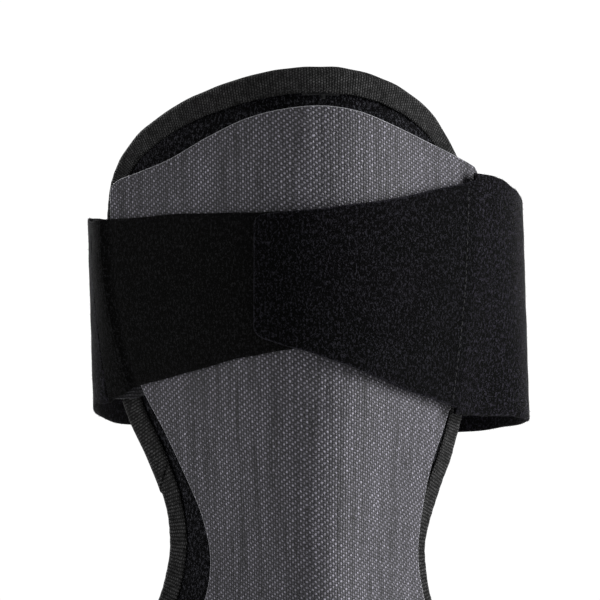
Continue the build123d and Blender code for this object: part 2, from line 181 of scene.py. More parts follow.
@dataclass
class Rim:
    """Closed outline in X and Z: up the left side, along the top, down the right and back at the foot.

    Attributes:
        points: points of the outline, in that order.
        corners: where the left side starts, the top starts, the right side starts and the foot starts.
        up: steps along each side.
        across: steps along the top and along the foot.
        at_depth: depth at which the outline is given.
    """

    points: Sequence[tuple[float, float]]
    corners: Sequence[tuple[float, float]]
    up: int
    across: int
    at_depth: float = 0.0
    xz: Array = field(init=False)
    outward: Array = field(init=False)
    length: Array = field(init=False)
    around: float = field(init=False)

    def __post_init__(self) -> None:
        """Sample the four sides and find the outward direction, square to the rim in the guard's surface."""
        fine = closed_curve(self.points, 6000)
        start = [int(np.argmin(np.hypot(*(fine - corner).T))) for corner in self.corners]
        steps = (self.up, self.across, self.up, self.across)
        sides = []
        for k, count in enumerate(steps):
            end = start[(k + 1) % 4]
            end += len(fine) if end <= start[k] else 0
            place = np.linspace(start[k], end, count + 1)[:-1]
            sides.append(fine[np.rint(place).astype(int) % len(fine)])
        given = np.vstack(sides)
        self.xz = given
        for _ in range(5):
            self.xz = given - GUARD.inward(*self.xz.T)[:, [0, 2]] * self.at_depth
        x, z = self.xz.T
        line = GUARD.point(x, z)
        along = np.roll(line, -2, axis=0) - np.roll(line, 2, axis=0)
        along /= np.linalg.norm(along, axis=1, keepdims=True)
        out = np.cross(along, GUARD.inward(x, z))
        towards = np.sum(out[:, [0, 2]] * (self.xz - self.xz.mean(axis=0)))
        self.outward = (out if towards > 0 else -out)[:, [0, 2]]
        steps_mm = np.linalg.norm(line - np.roll(line, 1, axis=0), axis=1)
        self.length = np.cumsum(steps_mm) - steps_mm[0]
        self.around = float(steps_mm.sum())

    def ring(self, inset: Array | float, depth: Array | float) -> Array:
        """Closed ring: the rim moved inset inwards in the surface, and lying depth behind the front face."""
        x, z = (self.xz - self.outward * np.broadcast_to(inset, (len(self.xz),))[:, None]).T
        return GUARD.point(x, z, depth)

    def rings(self, insets: Sequence[Any], depths: Sequence[Any]) -> Array:
        """Rings for pairs of inset and depth, as a grid of rings by samples."""
        return np.stack([self.ring(a, d) for a, d in zip(insets, depths)])

    def fill(self, inset: float) -> tuple[Array, Array]:
        """Fill the rim with a Coons patch: side-to-side and foot-to-top spans, less the corners' spans.

        Args:
            inset: how far inside the rim the patch ends.

        Returns:
            X and Z of the patch, in rows from the foot to the top, each from left to right.
        """
        xz = self.xz - self.outward * inset
        ring = np.vstack([xz, xz[:1]])
        up, across = self.up, self.across
        left, top = ring[: up + 1], ring[up : up + across + 1]
        right = ring[up + across : 2 * up + across + 1][::-1]
        foot = ring[2 * up + across :][::-1]
        v = np.linspace(0, 1, up + 1)[:, None, None]
        u = np.linspace(0, 1, across + 1)[None, :, None]
        spans = (1 - u) * left[:, None] + u * right[:, None] + (1 - v) * foot[None] + v * top[None]
        corners = (1 - v) * ((1 - u) * left[0] + u * right[0]) + v * ((1 - u) * left[-1] + u * right[-1])
        grid = spans - corners
        return grid[..., 0], grid[..., 1]

    def plate(self, front: float, back: float, round_by: float, arc: int = 5) -> list["Patch"]:
        """Patches of a closed plate between two depths, with an edge rounded by quarter circles.

        Args:
            front: depth of the front face.
            back: depth of the back face.
            round_by: radius of the edge's two roundings.
            arc: steps in each rounding.

        Returns:
            The front, the edge and the back, with finish numbers 0, 1 and 2.
        """
        turn = np.linspace(0, np.pi / 2, arc + 1)
        inset, drop = round_by * (1 - np.sin(turn)), round_by * (1 - np.cos(turn))
        insets = [*inset, *inset[::-1]]
        depths = [*(front + drop), *(back - drop)[::-1]]
        x, z = self.fill(round_by)
        faces = [GUARD.point(x, z, depth) for depth in (front, back)]
        edge = self.rings(insets, depths)
        return [
            Patch(faces[0], flat_uv(faces[0])),
            Patch(edge, flat_uv(edge, False, True), finish=1, round_second=True),
            Patch(faces[1], flat_uv(faces[1]), finish=2),
        ]


# ---------------------------------------------------------------- meshes


@dataclass
class Patch:
    """Grid of points with its own texture lengths, ready to become quads."""

    points: Array
    uv: Array
    finish: int = 0
    round_first: bool = False
    round_second: bool = False
    edge: Array | None = None


FAR_FROM_EDGE = 99.0


@dataclass
class Piece:
    """One visual piece made of patches.

    Attributes:
        name: the object's name.
        slot: the record's material slot, or none for the floor; not used.
        body: the body it rides on, or none where it bends between two.
        patches: the grids it is made of.
    """

    name: str
    slot: str
    body: str
    patches: list[Patch] = field(default_factory=list)

    def build(
        self, finishes: Sequence[bpy.types.Material], weld: float = 0.01, sharp: float = 50
    ) -> bpy.types.Object:
        """Write the patches into one mesh object.

        Args:
            finishes: materials, in the order of the patches' finish numbers.
            weld: points nearer than this are joined, in millimetres.
            sharp: edges that turn by more than this many degrees are kept crisp.

        Returns:
            The object, linked to the scene and smooth shaded, with its faces pointing outwards.
        """
        points, faces, uvs, finish, edges, base = [], [], [], [], [], 0
        for patch in self.patches:
            n, m = patch.points.shape[:2]
            i = np.arange(n if patch.round_first else n - 1)[:, None]
            j = np.arange(m if patch.round_second else m - 1)[None, :]
            i2, j2 = (i + 1) % n, (j + 1) % m
            quads = np.stack([i * m + j, i2 * m + j, i2 * m + j2, i * m + j2], axis=-1).reshape(-1, 4)
            faces.append(quads + base)
            points.append(patch.points.reshape(-1, 3))
            uvs.append(self.corner_uv(patch, i, j, i2, j2))
            finish.append(np.full(len(quads), patch.finish))
            edge = FAR_FROM_EDGE if patch.edge is None else patch.edge
            edges.append(np.broadcast_to(edge, (n, m)).reshape(-1))
            base += n * m
        mesh = self.mesh(np.vstack(points) * MM, np.vstack(faces), np.vstack(uvs), np.concatenate(finish))
        # Distance from the edge, which places the tab's painted edge highlight.
        edge_layer = mesh.attributes.new("edge", "FLOAT", "POINT")
        edge_layer.data.foreach_set("value", np.concatenate(edges).astype(np.float32))
        self.tidy(mesh, weld)
        mesh.set_sharp_from_angle(angle=math.radians(sharp))
        for material in finishes:
            mesh.materials.append(material)
        piece = bpy.data.objects.new(self.name, mesh)
        bpy.context.scene.collection.objects.link(piece)
        if self.body:
            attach(piece, self.body)
        return piece

    @staticmethod
    def corner_uv(patch: Patch, i: Array, j: Array, i2: Array, j2: Array) -> Array:
        """Texture lengths of each quad's four corners; a grid that closes has one column or row more."""
        return np.stack(
            [patch.uv[i, j], patch.uv[i + 1, j], patch.uv[i + 1, j + 1], patch.uv[i, j + 1]], axis=-2
        ).reshape(-1, 2)

    @staticmethod
    def mesh(points: Array, faces: Array, uvs: Array, finish: Array) -> bpy.types.Mesh:
        """Mesh of quads, written with whole arrays."""
        mesh = bpy.data.meshes.new("surface")
        mesh.vertices.add(len(points))
        mesh.vertices.foreach_set("co", points.astype(np.float32).ravel())
        mesh.loops.add(faces.size)
        mesh.loops.foreach_set("vertex_index", faces.astype(np.int32).ravel())
        mesh.polygons.add(len(faces))
        mesh.polygons.foreach_set("loop_start", np.arange(0, faces.size, 4, dtype=np.int32))
        mesh.polygons.foreach_set("material_index", finish.astype(np.int32))
        mesh.polygons.foreach_set("use_smooth", np.ones(len(faces), bool))
        layer = mesh.uv_layers.new(name="lengths")
        layer.data.foreach_set("uv", uvs.astype(np.float32).ravel())
        mesh.update(calc_edges=True)
        return mesh

    @staticmethod
    def tidy(mesh: bpy.types.Mesh, weld: float) -> None:
        """Join points that meet, drop faces with no area and point all faces outwards."""
        work = bmesh.new()
        work.from_mesh(mesh)
        bmesh.ops.remove_doubles(work, verts=work.verts, dist=weld * MM)
        bmesh.ops.dissolve_degenerate(work, edges=work.edges, dist=1e-7)
        bmesh.ops.recalc_face_normals(work, faces=work.faces)
        work.to_mesh(mesh)
        work.free()


def flat_uv(points: Array, extra_first: bool = False, extra_second: bool = False) -> Array:
    """Texture lengths of a patch on the guard's surface: girth from the ridge, and height.

    Args:
        points: the patch's points.
        extra_first: the grid closes along its first direction.
        extra_second: the grid closes along its second direction.

    Returns:
        Girth and height in millimetres.
    """
    points = closing(points, extra_first, extra_second)
    return np.stack([GUARD.girth(points[..., 0], points[..., 2]), points[..., 2]], axis=-1)


def closing(grid: Array, first: bool, second: bool) -> Array:
    """Grid with its first row, first column or both repeated at the end."""
    grid = np.concatenate([grid, grid[:1]], axis=0) if first else grid
    return np.concatenate([grid, grid[:, :1]], axis=1) if second else grid


# ---------------------------------------------------------------- shader maths


class Value:
    """Number socket that can be used in Python expressions; each operator adds one Math node."""

    def __init__(self, shader: "Shader", socket: bpy.types.NodeSocket) -> None:
        """Wrap a socket of a shader."""
        self.shader, self.socket = shader, socket

    def op(self, operation: str, *others: "Value | float") -> "Value":
        """Math node of the given operation on this value and others."""
        return self.shader.math(operation, self, *others)

    def __add__(self, other: "Value | float") -> "Value":
        """Sum."""
        return self.op("ADD", other)

    def __radd__(self, other: float) -> "Value":
        """Sum with a number first."""
        return self.shader.math("ADD", other, self)

    def __sub__(self, other: "Value | float") -> "Value":
        """Difference."""
        return self.op("SUBTRACT", other)

    def __rsub__(self, other: float) -> "Value":
        """Difference from a number."""
        return self.shader.math("SUBTRACT", other, self)

    def __mul__(self, other: "Value | float") -> "Value":
        """Product."""
        return self.op("MULTIPLY", other)

    def __rmul__(self, other: float) -> "Value":
        """Product with a number first."""
        return self.shader.math("MULTIPLY", other, self)

    def __truediv__(self, other: "Value | float") -> "Value":
        """Quotient."""
        return self.op("DIVIDE", other)

    def __pow__(self, other: "Value | float") -> "Value":
        """Power."""
        return self.op("POWER", other)

    def __mod__(self, other: "Value | float") -> "Value":
        """Remainder, never negative for a positive divisor."""
        return self.op("FLOORED_MODULO", other)


@dataclass
class Shader:
    """Node tree of one material, with short ways to add nodes."""

    name: str
    material: bpy.types.Material = field(init=False)

    def __post_init__(self) -> None:
        """Make the material and clear its tree."""
        self.material = bpy.data.materials.new(self.name)
        self.material.use_nodes = True
        self.material.node_tree.nodes.clear()

    def node(self, kind: str, settings: dict[str, Any] | None = None, **sockets: Any) -> bpy.types.Node:
        """Add a node.

        Args:
            kind: node type.
            settings: attributes of the node, set first; "stops" fills a colour ramp.
            sockets: values or links, by input name with spaces as underscores.

        Returns:
            The node.
        """
        node = self.material.node_tree.nodes.new(kind)
        for key, value in (settings or {}).items():
            if key == "stops":
                self.fill_ramp(node, value)
            else:
                setattr(node, key, value)
        for key, value in sockets.items():
            self.put(node.inputs[key.replace("_", " ")], value)
        return node

    def put(self, socket: bpy.types.NodeSocket, value: Any) -> None:
        """Link a value or socket to an input, or set a constant on it."""
        if isinstance(value, Value):
            value = value.socket
        if isinstance(value, bpy.types.NodeSocket):
            self.material.node_tree.links.new(value, socket)
        else:
            socket.default_value = value

    @staticmethod
    def fill_ramp(node: bpy.types.Node, stops: Sequence[tuple[float, tuple[float, ...]]]) -> None:
        """Give a colour ramp its stops."""
        elements = node.color_ramp.elements
        while len(elements) < len(stops):
            elements.new(0.5)
        for element, (place, colour) in zip(elements, stops):
            element.position, element.color = place, colour

    def math(self, operation: str, *values: "Value | float") -> Value:
        """Math node on values and numbers."""
        node = self.node("ShaderNodeMath", {"operation": operation})
        for socket, value in zip(node.inputs, values):
            self.put(socket, value)
        return Value(self, node.outputs[0])

    def lengths(self) -> tuple[Value, Value]:
        """The piece's own two texture lengths, in millimetres."""
        uv = self.node("ShaderNodeUVMap", {"uv_map": "lengths"})
        split = self.node("ShaderNodeSeparateXYZ", Vector=uv.outputs["UV"])
        return Value(self, split.outputs["X"]), Value(self, split.outputs["Y"])

    def vector(self, x: Value | float, y: Value | float, z: Value | float = 0.0) -> bpy.types.NodeSocket:
        """Vector from three values."""
        return self.node("ShaderNodeCombineXYZ", X=x, Y=y, Z=z).outputs["Vector"]

    def noise(
        self, vector: bpy.types.NodeSocket, scale: float, detail: float = 2.0, rough: float = 0.5
    ) -> Value:
        """Noise between about 0 and 1 on a vector."""
        node = self.node("ShaderNodeTexNoise", Vector=vector, Scale=scale, Detail=detail, Roughness=rough)
        return Value(self, node.outputs["Fac"])

    def object_mm(self) -> bpy.types.NodeSocket:
        """Object coordinates in millimetres."""
        place = self.node("ShaderNodeTexCoord").outputs["Object"]
        scaled = self.node("ShaderNodeVectorMath", {"operation": "SCALE"}, Vector=place, Scale=1 / MM)
        return scaled.outputs["Vector"]

    def attribute(self, name: str) -> Value:
        """One of the piece's own number attributes."""
        return Value(self, self.node("ShaderNodeAttribute", {"attribute_name": name}).outputs["Fac"])

    def colours(self, factor: Value, low: Sequence[float], high: Sequence[float]) -> bpy.types.NodeSocket:
        """Mix of two colours."""
        node = self.node("ShaderNodeMix", {"data_type": "RGBA", "clamp_factor": True}, Factor=factor)
        self.put(node.inputs[6], (*low, 1.0))
        self.put(node.inputs[7], (*high, 1.0))
        return node.outputs[2]

    def finish(
        self,
        colour: Any,
        roughness: Any,
        height: Value | None = None,
        depth_mm: float = 0.1,
        constants: dict[str, Any] | None = None,
    ) -> bpy.types.Material:
        """End the tree in one Principled shader.

        Args:
            colour: base colour or its socket.
            roughness: roughness or its value.
            height: bump height between 0 and 1.
            depth_mm: real height of the bump.
            constants: other inputs that are the same all over.

        Returns:
            The material.
        """
        surface = self.node("ShaderNodeBsdfPrincipled", None, Base_Color=colour, Roughness=roughness)
        for key, value in (constants or {}).items():
            surface.inputs[key].default_value = value
        if height is not None:
            bump = self.node("ShaderNodeBump", None, Strength=1.0, Distance=depth_mm * MM, Height=height)
            self.put(surface.inputs["Normal"], bump.outputs["Normal"])
        output = self.node("ShaderNodeOutputMaterial")
        self.put(output.inputs["Surface"], surface.outputs["BSDF"])
        return self.material


# ---------------------------------------------------------------- finishes


class Lie(Enum):
    """Which of a piece's two texture lengths its ribs count along."""

    FIRST = 0
    SECOND = 1


@dataclass(frozen=True)
class WovenFacing:
    """Plain-woven facing over a moulded plate: rows of thread tops, with faint streaks up the plate."""

    pitch: float = 1.05
    gap: tuple[float, float, float] = (0.0035, 0.0034, 0.0042)
    thread: tuple[float, float, float] = (0.370, 0.354, 0.425)
    roughness: float = 0.46

    def material(self) -> bpy.types.Material:
        """Thread tops in checks: each crown is two half sines multiplied, and every other check is turned."""
        s = Shader("woven_facing")
        girth, height = s.lengths()
        fray = (s.noise(s.vector(girth * 0.70, height * 0.55), 1.0, 3.0) - 0.5) * 1.1
        u, v = girth / self.pitch + fray, height / self.pitch + girth * 0.30 + fray * 0.7
        across = ((u % 1.0) * math.pi).op("SINE")
        along = ((v % 1.0) * math.pi).op("SINE")
        turned = (u.op("FLOOR") + v.op("FLOOR")) % 2.0
        warp = across ** 0.7 * (0.50 + 0.50 * along)
        weft = along ** 0.7 * (0.35 + 0.65 * across)
        crown = warp * turned + weft * (1 - turned) * 0.50
        yarn = s.noise(s.vector(u.op("FLOOR") * 3.71, height * 0.030), 1.0, 2.0, 0.5)
        streak = s.noise(s.vector(girth * 0.30, height * 0.010), 1.0, 4.0, 0.6)
        patch = s.noise(s.vector(girth * 0.05, height * 0.04), 1.0, 3.0, 0.6)
        slub = s.noise(s.vector(girth * 0.95, height * 0.20), 1.0, 2.0)
        fleck = (s.noise(s.vector(girth * 0.85, height * 0.6), 1.0, 3.0, 0.75) - 0.5) * 3.2
        lines = (yarn - 0.5) * 2.2 + (streak - 0.5) * 1.6
        worn = (0.50 + 0.6 * slub + (patch - 0.5) * 0.7 + fleck + lines).op("MAXIMUM", 0.04)
        colour = s.colours(crown ** 2.1 * worn * 0.64 + 0.012, self.gap, self.thread)
        rough = self.roughness + (1 - crown) * 0.16 + (patch - 0.5) * 0.12
        return s.finish(colour, rough, crown + (slub - 0.5) * 0.6, 0.26, {"Specular IOR Level": 0.34})


@dataclass(frozen=True)
class MouldedCore:
    """Black moulded plate with a fine, even grain."""

    colour: tuple[float, float, float] = (0.020, 0.020, 0.022)

    def material(self) -> bpy.types.Material:
        """Fine noise grain over slow blotches."""
        s = Shader("moulded_core")
        place = s.object_mm()
        grain, blotch = s.noise(place, 2.6, 3.0), s.noise(place, 0.08, 3.0)
        colour = s.colours(blotch, self.colour, tuple(1.9 * c for c in self.colour))
        return s.finish(colour, 0.42 + grain * 0.25, grain, 0.05, {"Specular IOR Level": 0.4})


@dataclass(frozen=True)
class RibbedTape:
    """Woven binding or webbing: ribs across it, crossed by threads that stagger from rib to rib.

    Attributes:
        name: name of the material.
        pitch: distance between ribs.
        dark: colour in the grooves.
        light: colour on the ribs.
        lie: texture length that the ribs count along.
    """

    name: str = "binding_tape"
    pitch: float = 1.15
    dark: tuple[float, float, float] = (0.0008, 0.0008, 0.0008)
    light: tuple[float, float, float] = (0.0800, 0.0792, 0.0806)
    lie: Lie = Lie.FIRST

    def material(self) -> bpy.types.Material:
        """Half sines for ribs and for staggered threads, both shifted by noise on the texture lengths."""
        s = Shader(self.name)
        lengths = s.lengths()
        along, across = lengths[self.lie.value], lengths[1 - self.lie.value]
        fray = (s.noise(s.vector(along * 0.6, across * 0.6), 1.0, 3.0) - 0.5) * 0.7
        row = along / self.pitch + fray
        rib = ((row % 1.0) * math.pi).op("SINE")
        step = across / (self.pitch * 0.9) + (row.op("FLOOR") % 2.0) * 0.5 + fray
        thread = ((step % 1.0) * math.pi).op("SINE")
        worn = s.noise(s.object_mm(), 0.45, 4.0, 0.7)
        crown = rib ** 1.1 * (0.30 + 0.70 * thread)
        colour = s.colours(crown ** 1.8 * ((worn - 0.5) * 2.8 + 0.40), self.dark, self.light)
        return s.finish(
            colour, 0.62 + (1 - crown) * 0.25, crown, 0.26,
            {"Specular IOR Level": 0.14, "Sheen Weight": 0.03, "Sheen Roughness": 0.45},
        )


@dataclass(frozen=True)
class BrushedLoop:
    """Brushed loop fabric, matted into small tufts, with a nap that lies in patches.

    Attributes:
        name: name of the material.
        dark: colour down in the pile.
        light: colour of the pile's tips.
        nap: depth of the pile.
        streaks: strength of the faint lines that run across the strap.
        sheen: strength of the pile's sheen.
        painted_rim_highlight: strength of a painted highlight, a light line along the cut edge.
    """

    name: str
    dark: tuple[float, float, float]
    light: tuple[float, float, float]
    nap: float = 0.35
    streaks: float = 0.15
    sheen: float = 0.08
    painted_rim_highlight: float = 0.0

    def material(self) -> bpy.types.Material:
        """Noise for curls, tufts, patches and streaks, and a painted highlight: a light line where the edge
        attribute is small.
        """
        s = Shader(self.name)
        place = s.object_mm()
        first, second = s.lengths()
        curl = s.noise(s.vector(first * 2.3, second * 1.5), 1.0, 2.0, 0.7)
        tuft = s.noise(s.vector(first * 1.05 + 40, second * 0.55), 1.0, 2.0, 0.6)
        patch = s.noise(place, 0.11, 3.0, 0.6)
        streak = s.noise(s.vector(first * 0.55, second * 0.03), 1.0, 3.0, 0.6)
        pile = curl * 0.55 + tuft * 0.45
        # Painted highlight: the colour lightens near the band's edge, standing in for light catching it.
        rim = (1 - s.attribute("edge") / 0.75).op("MAXIMUM", 0.0) * self.painted_rim_highlight
        uneven = (patch - 0.5) * 0.9 + (streak - 0.5) * (6 * self.streaks)
        shade = (pile - 0.5) * 13.0 - 0.22 + uneven + rim
        colour = s.colours(shade, self.dark, self.light)
        return s.finish(
            colour, 0.92 - pile * 0.1, pile, self.nap,
            {"Specular IOR Level": 0.04, "Sheen Weight": self.sheen, "Sheen Roughness": 0.5},
        )


@dataclass(frozen=True)
class SpacerMesh:
    """Knitted spacer mesh: staggered rows of small oval holes over a darker ground."""

    pitch: float = 2.4
    yarn: tuple[float, float, float] = (0.026, 0.026, 0.028)
    hole: tuple[float, float, float] = (0.003, 0.003, 0.003)

    def material(self) -> bpy.types.Material:
        """Holes where the distance to the nearest staggered centre is small; yarn between them is knitted."""
        s = Shader("spacer_mesh")
        girth, height = s.lengths()
        row = height / (0.8 * self.pitch)
        shift = (row.op("FLOOR") % 2.0) * 0.5
        u = (girth / self.pitch + shift) % 1.0 - 0.5
        v = row % 1.0 - 0.5
        away = (u * u * 1.3 + v * v).op("SQRT")
        wall = s.math("SMOOTH_MIN", away * 3.2, 1.0, 0.2)
        knit = ((girth / 0.4 % 1.0) * math.pi).op("SINE") * ((height / 0.55 % 1.0) * math.pi).op("SINE")
        surface = wall * (0.75 + 0.25 * knit)
        colour = s.colours(surface ** 1.6, self.hole, self.yarn)
        return s.finish(colour, 0.85 - surface * 0.15, surface, 0.45, {"Specular IOR Level": 0.25})


@dataclass(frozen=True)
class HookTape:
    """Moulded hook tape: rows of tiny stiff hooks on a flat ground, on object coordinates."""

    pitch: float = 1.3

    def material(self) -> bpy.types.Material:
        """Dots at the crossings of two rows of sines."""
        s = Shader("hook_tape")
        split = s.node("ShaderNodeSeparateXYZ", None, Vector=s.object_mm())
        x, z = Value(s, split.outputs["X"]), Value(s, split.outputs["Z"])
        dots = ((x / self.pitch % 1.0) * math.pi).op("SINE") * ((z / self.pitch % 1.0) * math.pi).op("SINE")
        hooks = dots ** 3.0
        worn = s.noise(s.object_mm(), 0.5, 3.0)
        colour = s.colours(hooks * (0.6 + 0.6 * worn), (0.004, 0.004, 0.004), (0.03, 0.03, 0.032))
        return s.finish(colour, 0.5 - hooks * 0.15, hooks, 0.5, {"Specular IOR Level": 0.4})


@dataclass(frozen=True)
class Thread:
    """Twisted sewing thread."""

    dark: tuple[float, float, float] = (0.004, 0.004, 0.0045)
    light: tuple[float, float, float] = (0.011, 0.011, 0.012)

    def material(self) -> bpy.types.Material:
        """Slanted plies: a sine over the sum of the two texture lengths."""
        s = Shader("sewing_thread")
        along, around = s.lengths()
        ply = (((along * 2.2 + around * 0.8) % 1.0) * math.pi).op("SINE")
        fuzz = s.noise(s.object_mm(), 4.0, 2.0)
        colour = s.colours(ply * (0.6 + 0.6 * fuzz), self.dark, self.light)
        return s.finish(colour, 0.65 - ply * 0.15, ply, 0.04, {"Specular IOR Level": 0.3})


@dataclass(frozen=True)
class PaintedEdgeHighlight:
    """Cut edge of the facing, coloured pale as a painted highlight where the edge catches the light."""

    def material(self) -> bpy.types.Material:
        """Pale colour standing in for the edge's highlight, mottled by fine noise."""
        s = Shader("painted_edge_highlight")
        mottle = s.noise(s.object_mm(), 0.8, 3.0)
        # Painted highlight: the edge is coloured pale grey to show light catching it.
        colour = s.colours(mottle, (0.10, 0.10, 0.11), (0.42, 0.42, 0.45))
        return s.finish(colour, 0.35 + mottle * 0.2, mottle, 0.05, {"Specular IOR Level": 0.5})


class Finishes:
    """Every finish of the guard, made once."""

    def __init__(self) -> None:
        """Make the materials."""
        self.facing = WovenFacing().material()
        self.core = MouldedCore().material()
        self.binding = RibbedTape().material()
        self.loop_face = BrushedLoop(
            "loop_face", (0.0010, 0.0010, 0.0013), (0.038, 0.038, 0.0450), nap=0.5, streaks=0.05, sheen=0.01
        ).material()
        self.strap = BrushedLoop(
            "strap_fabric", (0.0003, 0.0003, 0.0004), (0.0205, 0.0190, 0.0262), nap=0.8, sheen=0.012
        ).material()
        self.landing = BrushedLoop(
            "landing_fabric", (0.0003, 0.0003, 0.0003), (0.0105, 0.0105, 0.0112),
            nap=0.7, streaks=0.05, sheen=0.020,
        ).material()
        # The tab's colour carries a painted highlight along its edge.
        self.tab = BrushedLoop(
            "tab_fabric", (0.0002, 0.0002, 0.0003), (0.0152, 0.0147, 0.0188),
            nap=0.7, streaks=0.04, sheen=0.004, painted_rim_highlight=1.6,
        ).material()
        self.mesh = SpacerMesh().material()
        self.hook = HookTape().material()
        self.thread = Thread().material()
        self.painted_edge_highlight = PaintedEdgeHighlight().material()


# ---------------------------------------------------------------- sub-assemblies


SHELL_OUTLINE = (
    (-47, -182.5), (-52.3, -175.5), (-53.8, -166), (-54, -158), (-51.5, -140), (-44.5, -120), (-39.5, -107),
    (-38, -94), (-40.5, -80), (-47, -63.5), (-54.5, -47), (-61.5, -33), (-67.5, -16), (-71, 4), (-72.9, 24),
    (-73.5, 38), (-73.2, 42.2), (-71.2, 44.6), (-66, 46.4), (-54.4, 50.5), (-40.5, 58), (-27.2, 64),
    (-13, 67.2), (1.8, 68), (14, 66.2), (25.8, 62.3), (40.5, 57), (51, 53.4), (57.5, 51.1), (60.5, 49.6),
    (61.6, 46.8), (61.4, 40), (60.3, 22), (59, 4), (56.3, -15), (52, -34), (48, -46), (43, -60), (39.3, -78),
    (38, -94), (40.3, -108), (46.5, -130), (54, -158), (53.8, -166), (52.3, -175.5), (47, -182.5),
    (38, -185.6), (27, -183.4), (14, -179.6), (0, -178), (-14, -179.6), (-27, -183.4), (-38, -185.6),
)
SHELL_CORNERS = ((-50, -179.5), (-72.6, 43.6), (61.3, 48.6), (50, -179.5))

LINER_OUTLINE = (
    (-52, -194.8), (-62, -188), (-67.5, -175), (-69, -158), (-64.5, -136), (-57, -116), (-52.6, -102),
    (-50.8, -88), (-52.6, -74), (-58.5, -57.5), (-65, -43), (-69.6, -28), (-72.4, -4), (-73.6, 20),
    (-73, 40), (-71, 49), (-65.8, 59), (-53.5, 69.6), (-30.7, 79), (-14.6, 82.2), (0, 83), (15.9, 81.6),
    (27.5, 78.2), (42.5, 69), (50.6, 58.4), (56.5, 46), (59, 32), (60.4, 10), (60, -14), (57.5, -36),
    (52.3, -56), (45.5, -74), (41.8, -88), (42.6, -103), (48.5, -121), (57, -140), (62, -158), (61, -175),
    (55.5, -188), (45.5, -195.6), (31, -199), (19, -196.8), (9.3, -192.9), (0, -191), (-10.4, -192.9),
    (-21, -196.8), (-34.5, -199),
)
LINER_CORNERS = ((-58, -191.4), (-70, 51.5), (53, 54), (51, -192.2))


@dataclass
class ShellPlate:
    """Hard shell: a moulded core with a thin woven facing bonded to its front."""

    facing_thickness: float = 0.5
    core_in: float = 0.55
    core_back: float = 2.45
    core_inset: float = 0.12
    facing_round: float = 0.22
    core_round: float = 0.5
    up: int = 150
    across: int = 84

    def build(self, finishes: Finishes) -> list[bpy.types.Object]:
        """Build the facing and the core, and dress the hook patches behind them.

        Args:
            finishes: the guard's finishes.

        Returns:
            The new pieces.
        """
        rim = Rim(SHELL_OUTLINE, SHELL_CORNERS, self.up, self.across)
        face = rim.plate(0.0, self.facing_thickness, self.facing_round)
        facing = Piece("shell_facing_woven", "woven_facing", "shell", face)
        core = Piece("shell_core_moulded", "shell_core", "shell", self.inner(rim))
        made = [
            # The facing's rounded edge takes the painted edge highlight.
            facing.build([finishes.facing, finishes.painted_edge_highlight, finishes.core]),
            core.build([finishes.core]),
        ]
        for piece, node in zip(made, ("shell_facing", "shell_core")):
            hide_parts(node)
        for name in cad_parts:
            if name.startswith("hook_patch"):
                dress(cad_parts[name], finishes.hook)
        return made

    def inner(self, rim: Rim) -> list[Patch]:
        """Core plate, set in a hair from the facing's edge, with every patch in one finish."""
        rim.xz = rim.xz - rim.outward * self.core_inset
        patches = rim.plate(self.core_in, self.core_back, self.core_round)
        for patch in patches:
            patch.finish = 0
        return patches


def dress(node: bpy.types.Object, material: bpy.types.Material) -> None:
    """Give a carried-over solid one finish on all its material slots."""
    if not node.material_slots:
        node.data.materials.append(material)
    for slot in node.material_slots:
        slot.material = material


@dataclass
class Stitches:
    """Row of raised thread stitches that follows a line on a surface.

    Attributes:
        name: name of the piece.
        body: body it rides on.
        pitch: distance between stitches.
        length: length of each stitch.
        radius: radius of the thread.
        rows: lines that the rows follow, with the directions that stand off the surface.
    """

    name: str
    body: str
    pitch: float = 2.8
    length: float = 2.2
    radius: float = 0.22
    rows: list[tuple[Array, Array]] = field(default_factory=list)

    def follow(self, line: Array, up: Array, closed: bool = False) -> None:
        """Add a row along a line of points, with the direction that stands off the surface at each."""
        if closed:
            line, up = np.vstack([line, line[:1]]), np.vstack([up, up[:1]])
        self.rows.append((line, up))

    def build(self, finishes: Finishes) -> bpy.types.Object:
        """Bow each stitch up like an arch: height = radius (0.9 sin(pi t) - 0.35), round on 6 sides."""
        piece = Piece(self.name, "binding_tape", self.body)
        t = np.linspace(0, 1, 6)
        turn = np.linspace(0, 2 * np.pi, 7)[:-1]
        for line, up in self.rows:
            run = np.concatenate([[0], np.cumsum(np.linalg.norm(np.diff(line, axis=0), axis=1))])
            count = max(1, int(run[-1] / self.pitch))
            starts = (np.arange(count) + 0.5) * run[-1] / count - self.length / 2
            where = starts[:, None] + t[None, :] * self.length
            mid = np.stack([np.interp(where, run, line[:, k]) for k in range(3)], axis=-1)
            off = np.stack([np.interp(where, run, up[:, k]) for k in range(3)], axis=-1)
            off /= np.linalg.norm(off, axis=-1, keepdims=True)
            mid = mid + off * (self.radius * (np.sin(np.pi * t) * 0.9 - 0.35))[None, :, None]
            along = np.gradient(mid, axis=1)
            along /= np.linalg.norm(along, axis=-1, keepdims=True)
            side = np.cross(along, off)
            girth = self.radius * np.sin(np.pi * (0.06 + 0.88 * t)) ** 0.5
            girth[[0, -1]] = 0.0
            circle = (
                off[:, :, None] * np.cos(turn)[None, None, :, None]
                + side[:, :, None] * np.sin(turn)[None, None, :, None]
            ) * girth[None, :, None, None]
            tubes = mid[:, :, None] + circle
            lengths = np.stack(
                np.broadcast_arrays((t * self.length)[:, None], np.arange(7)[None, :] * 0.3), axis=-1
            )
            piece.patches += [Patch(tube, lengths, round_second=True) for tube in tubes]
        return piece.build([finishes.thread], weld=0.004)


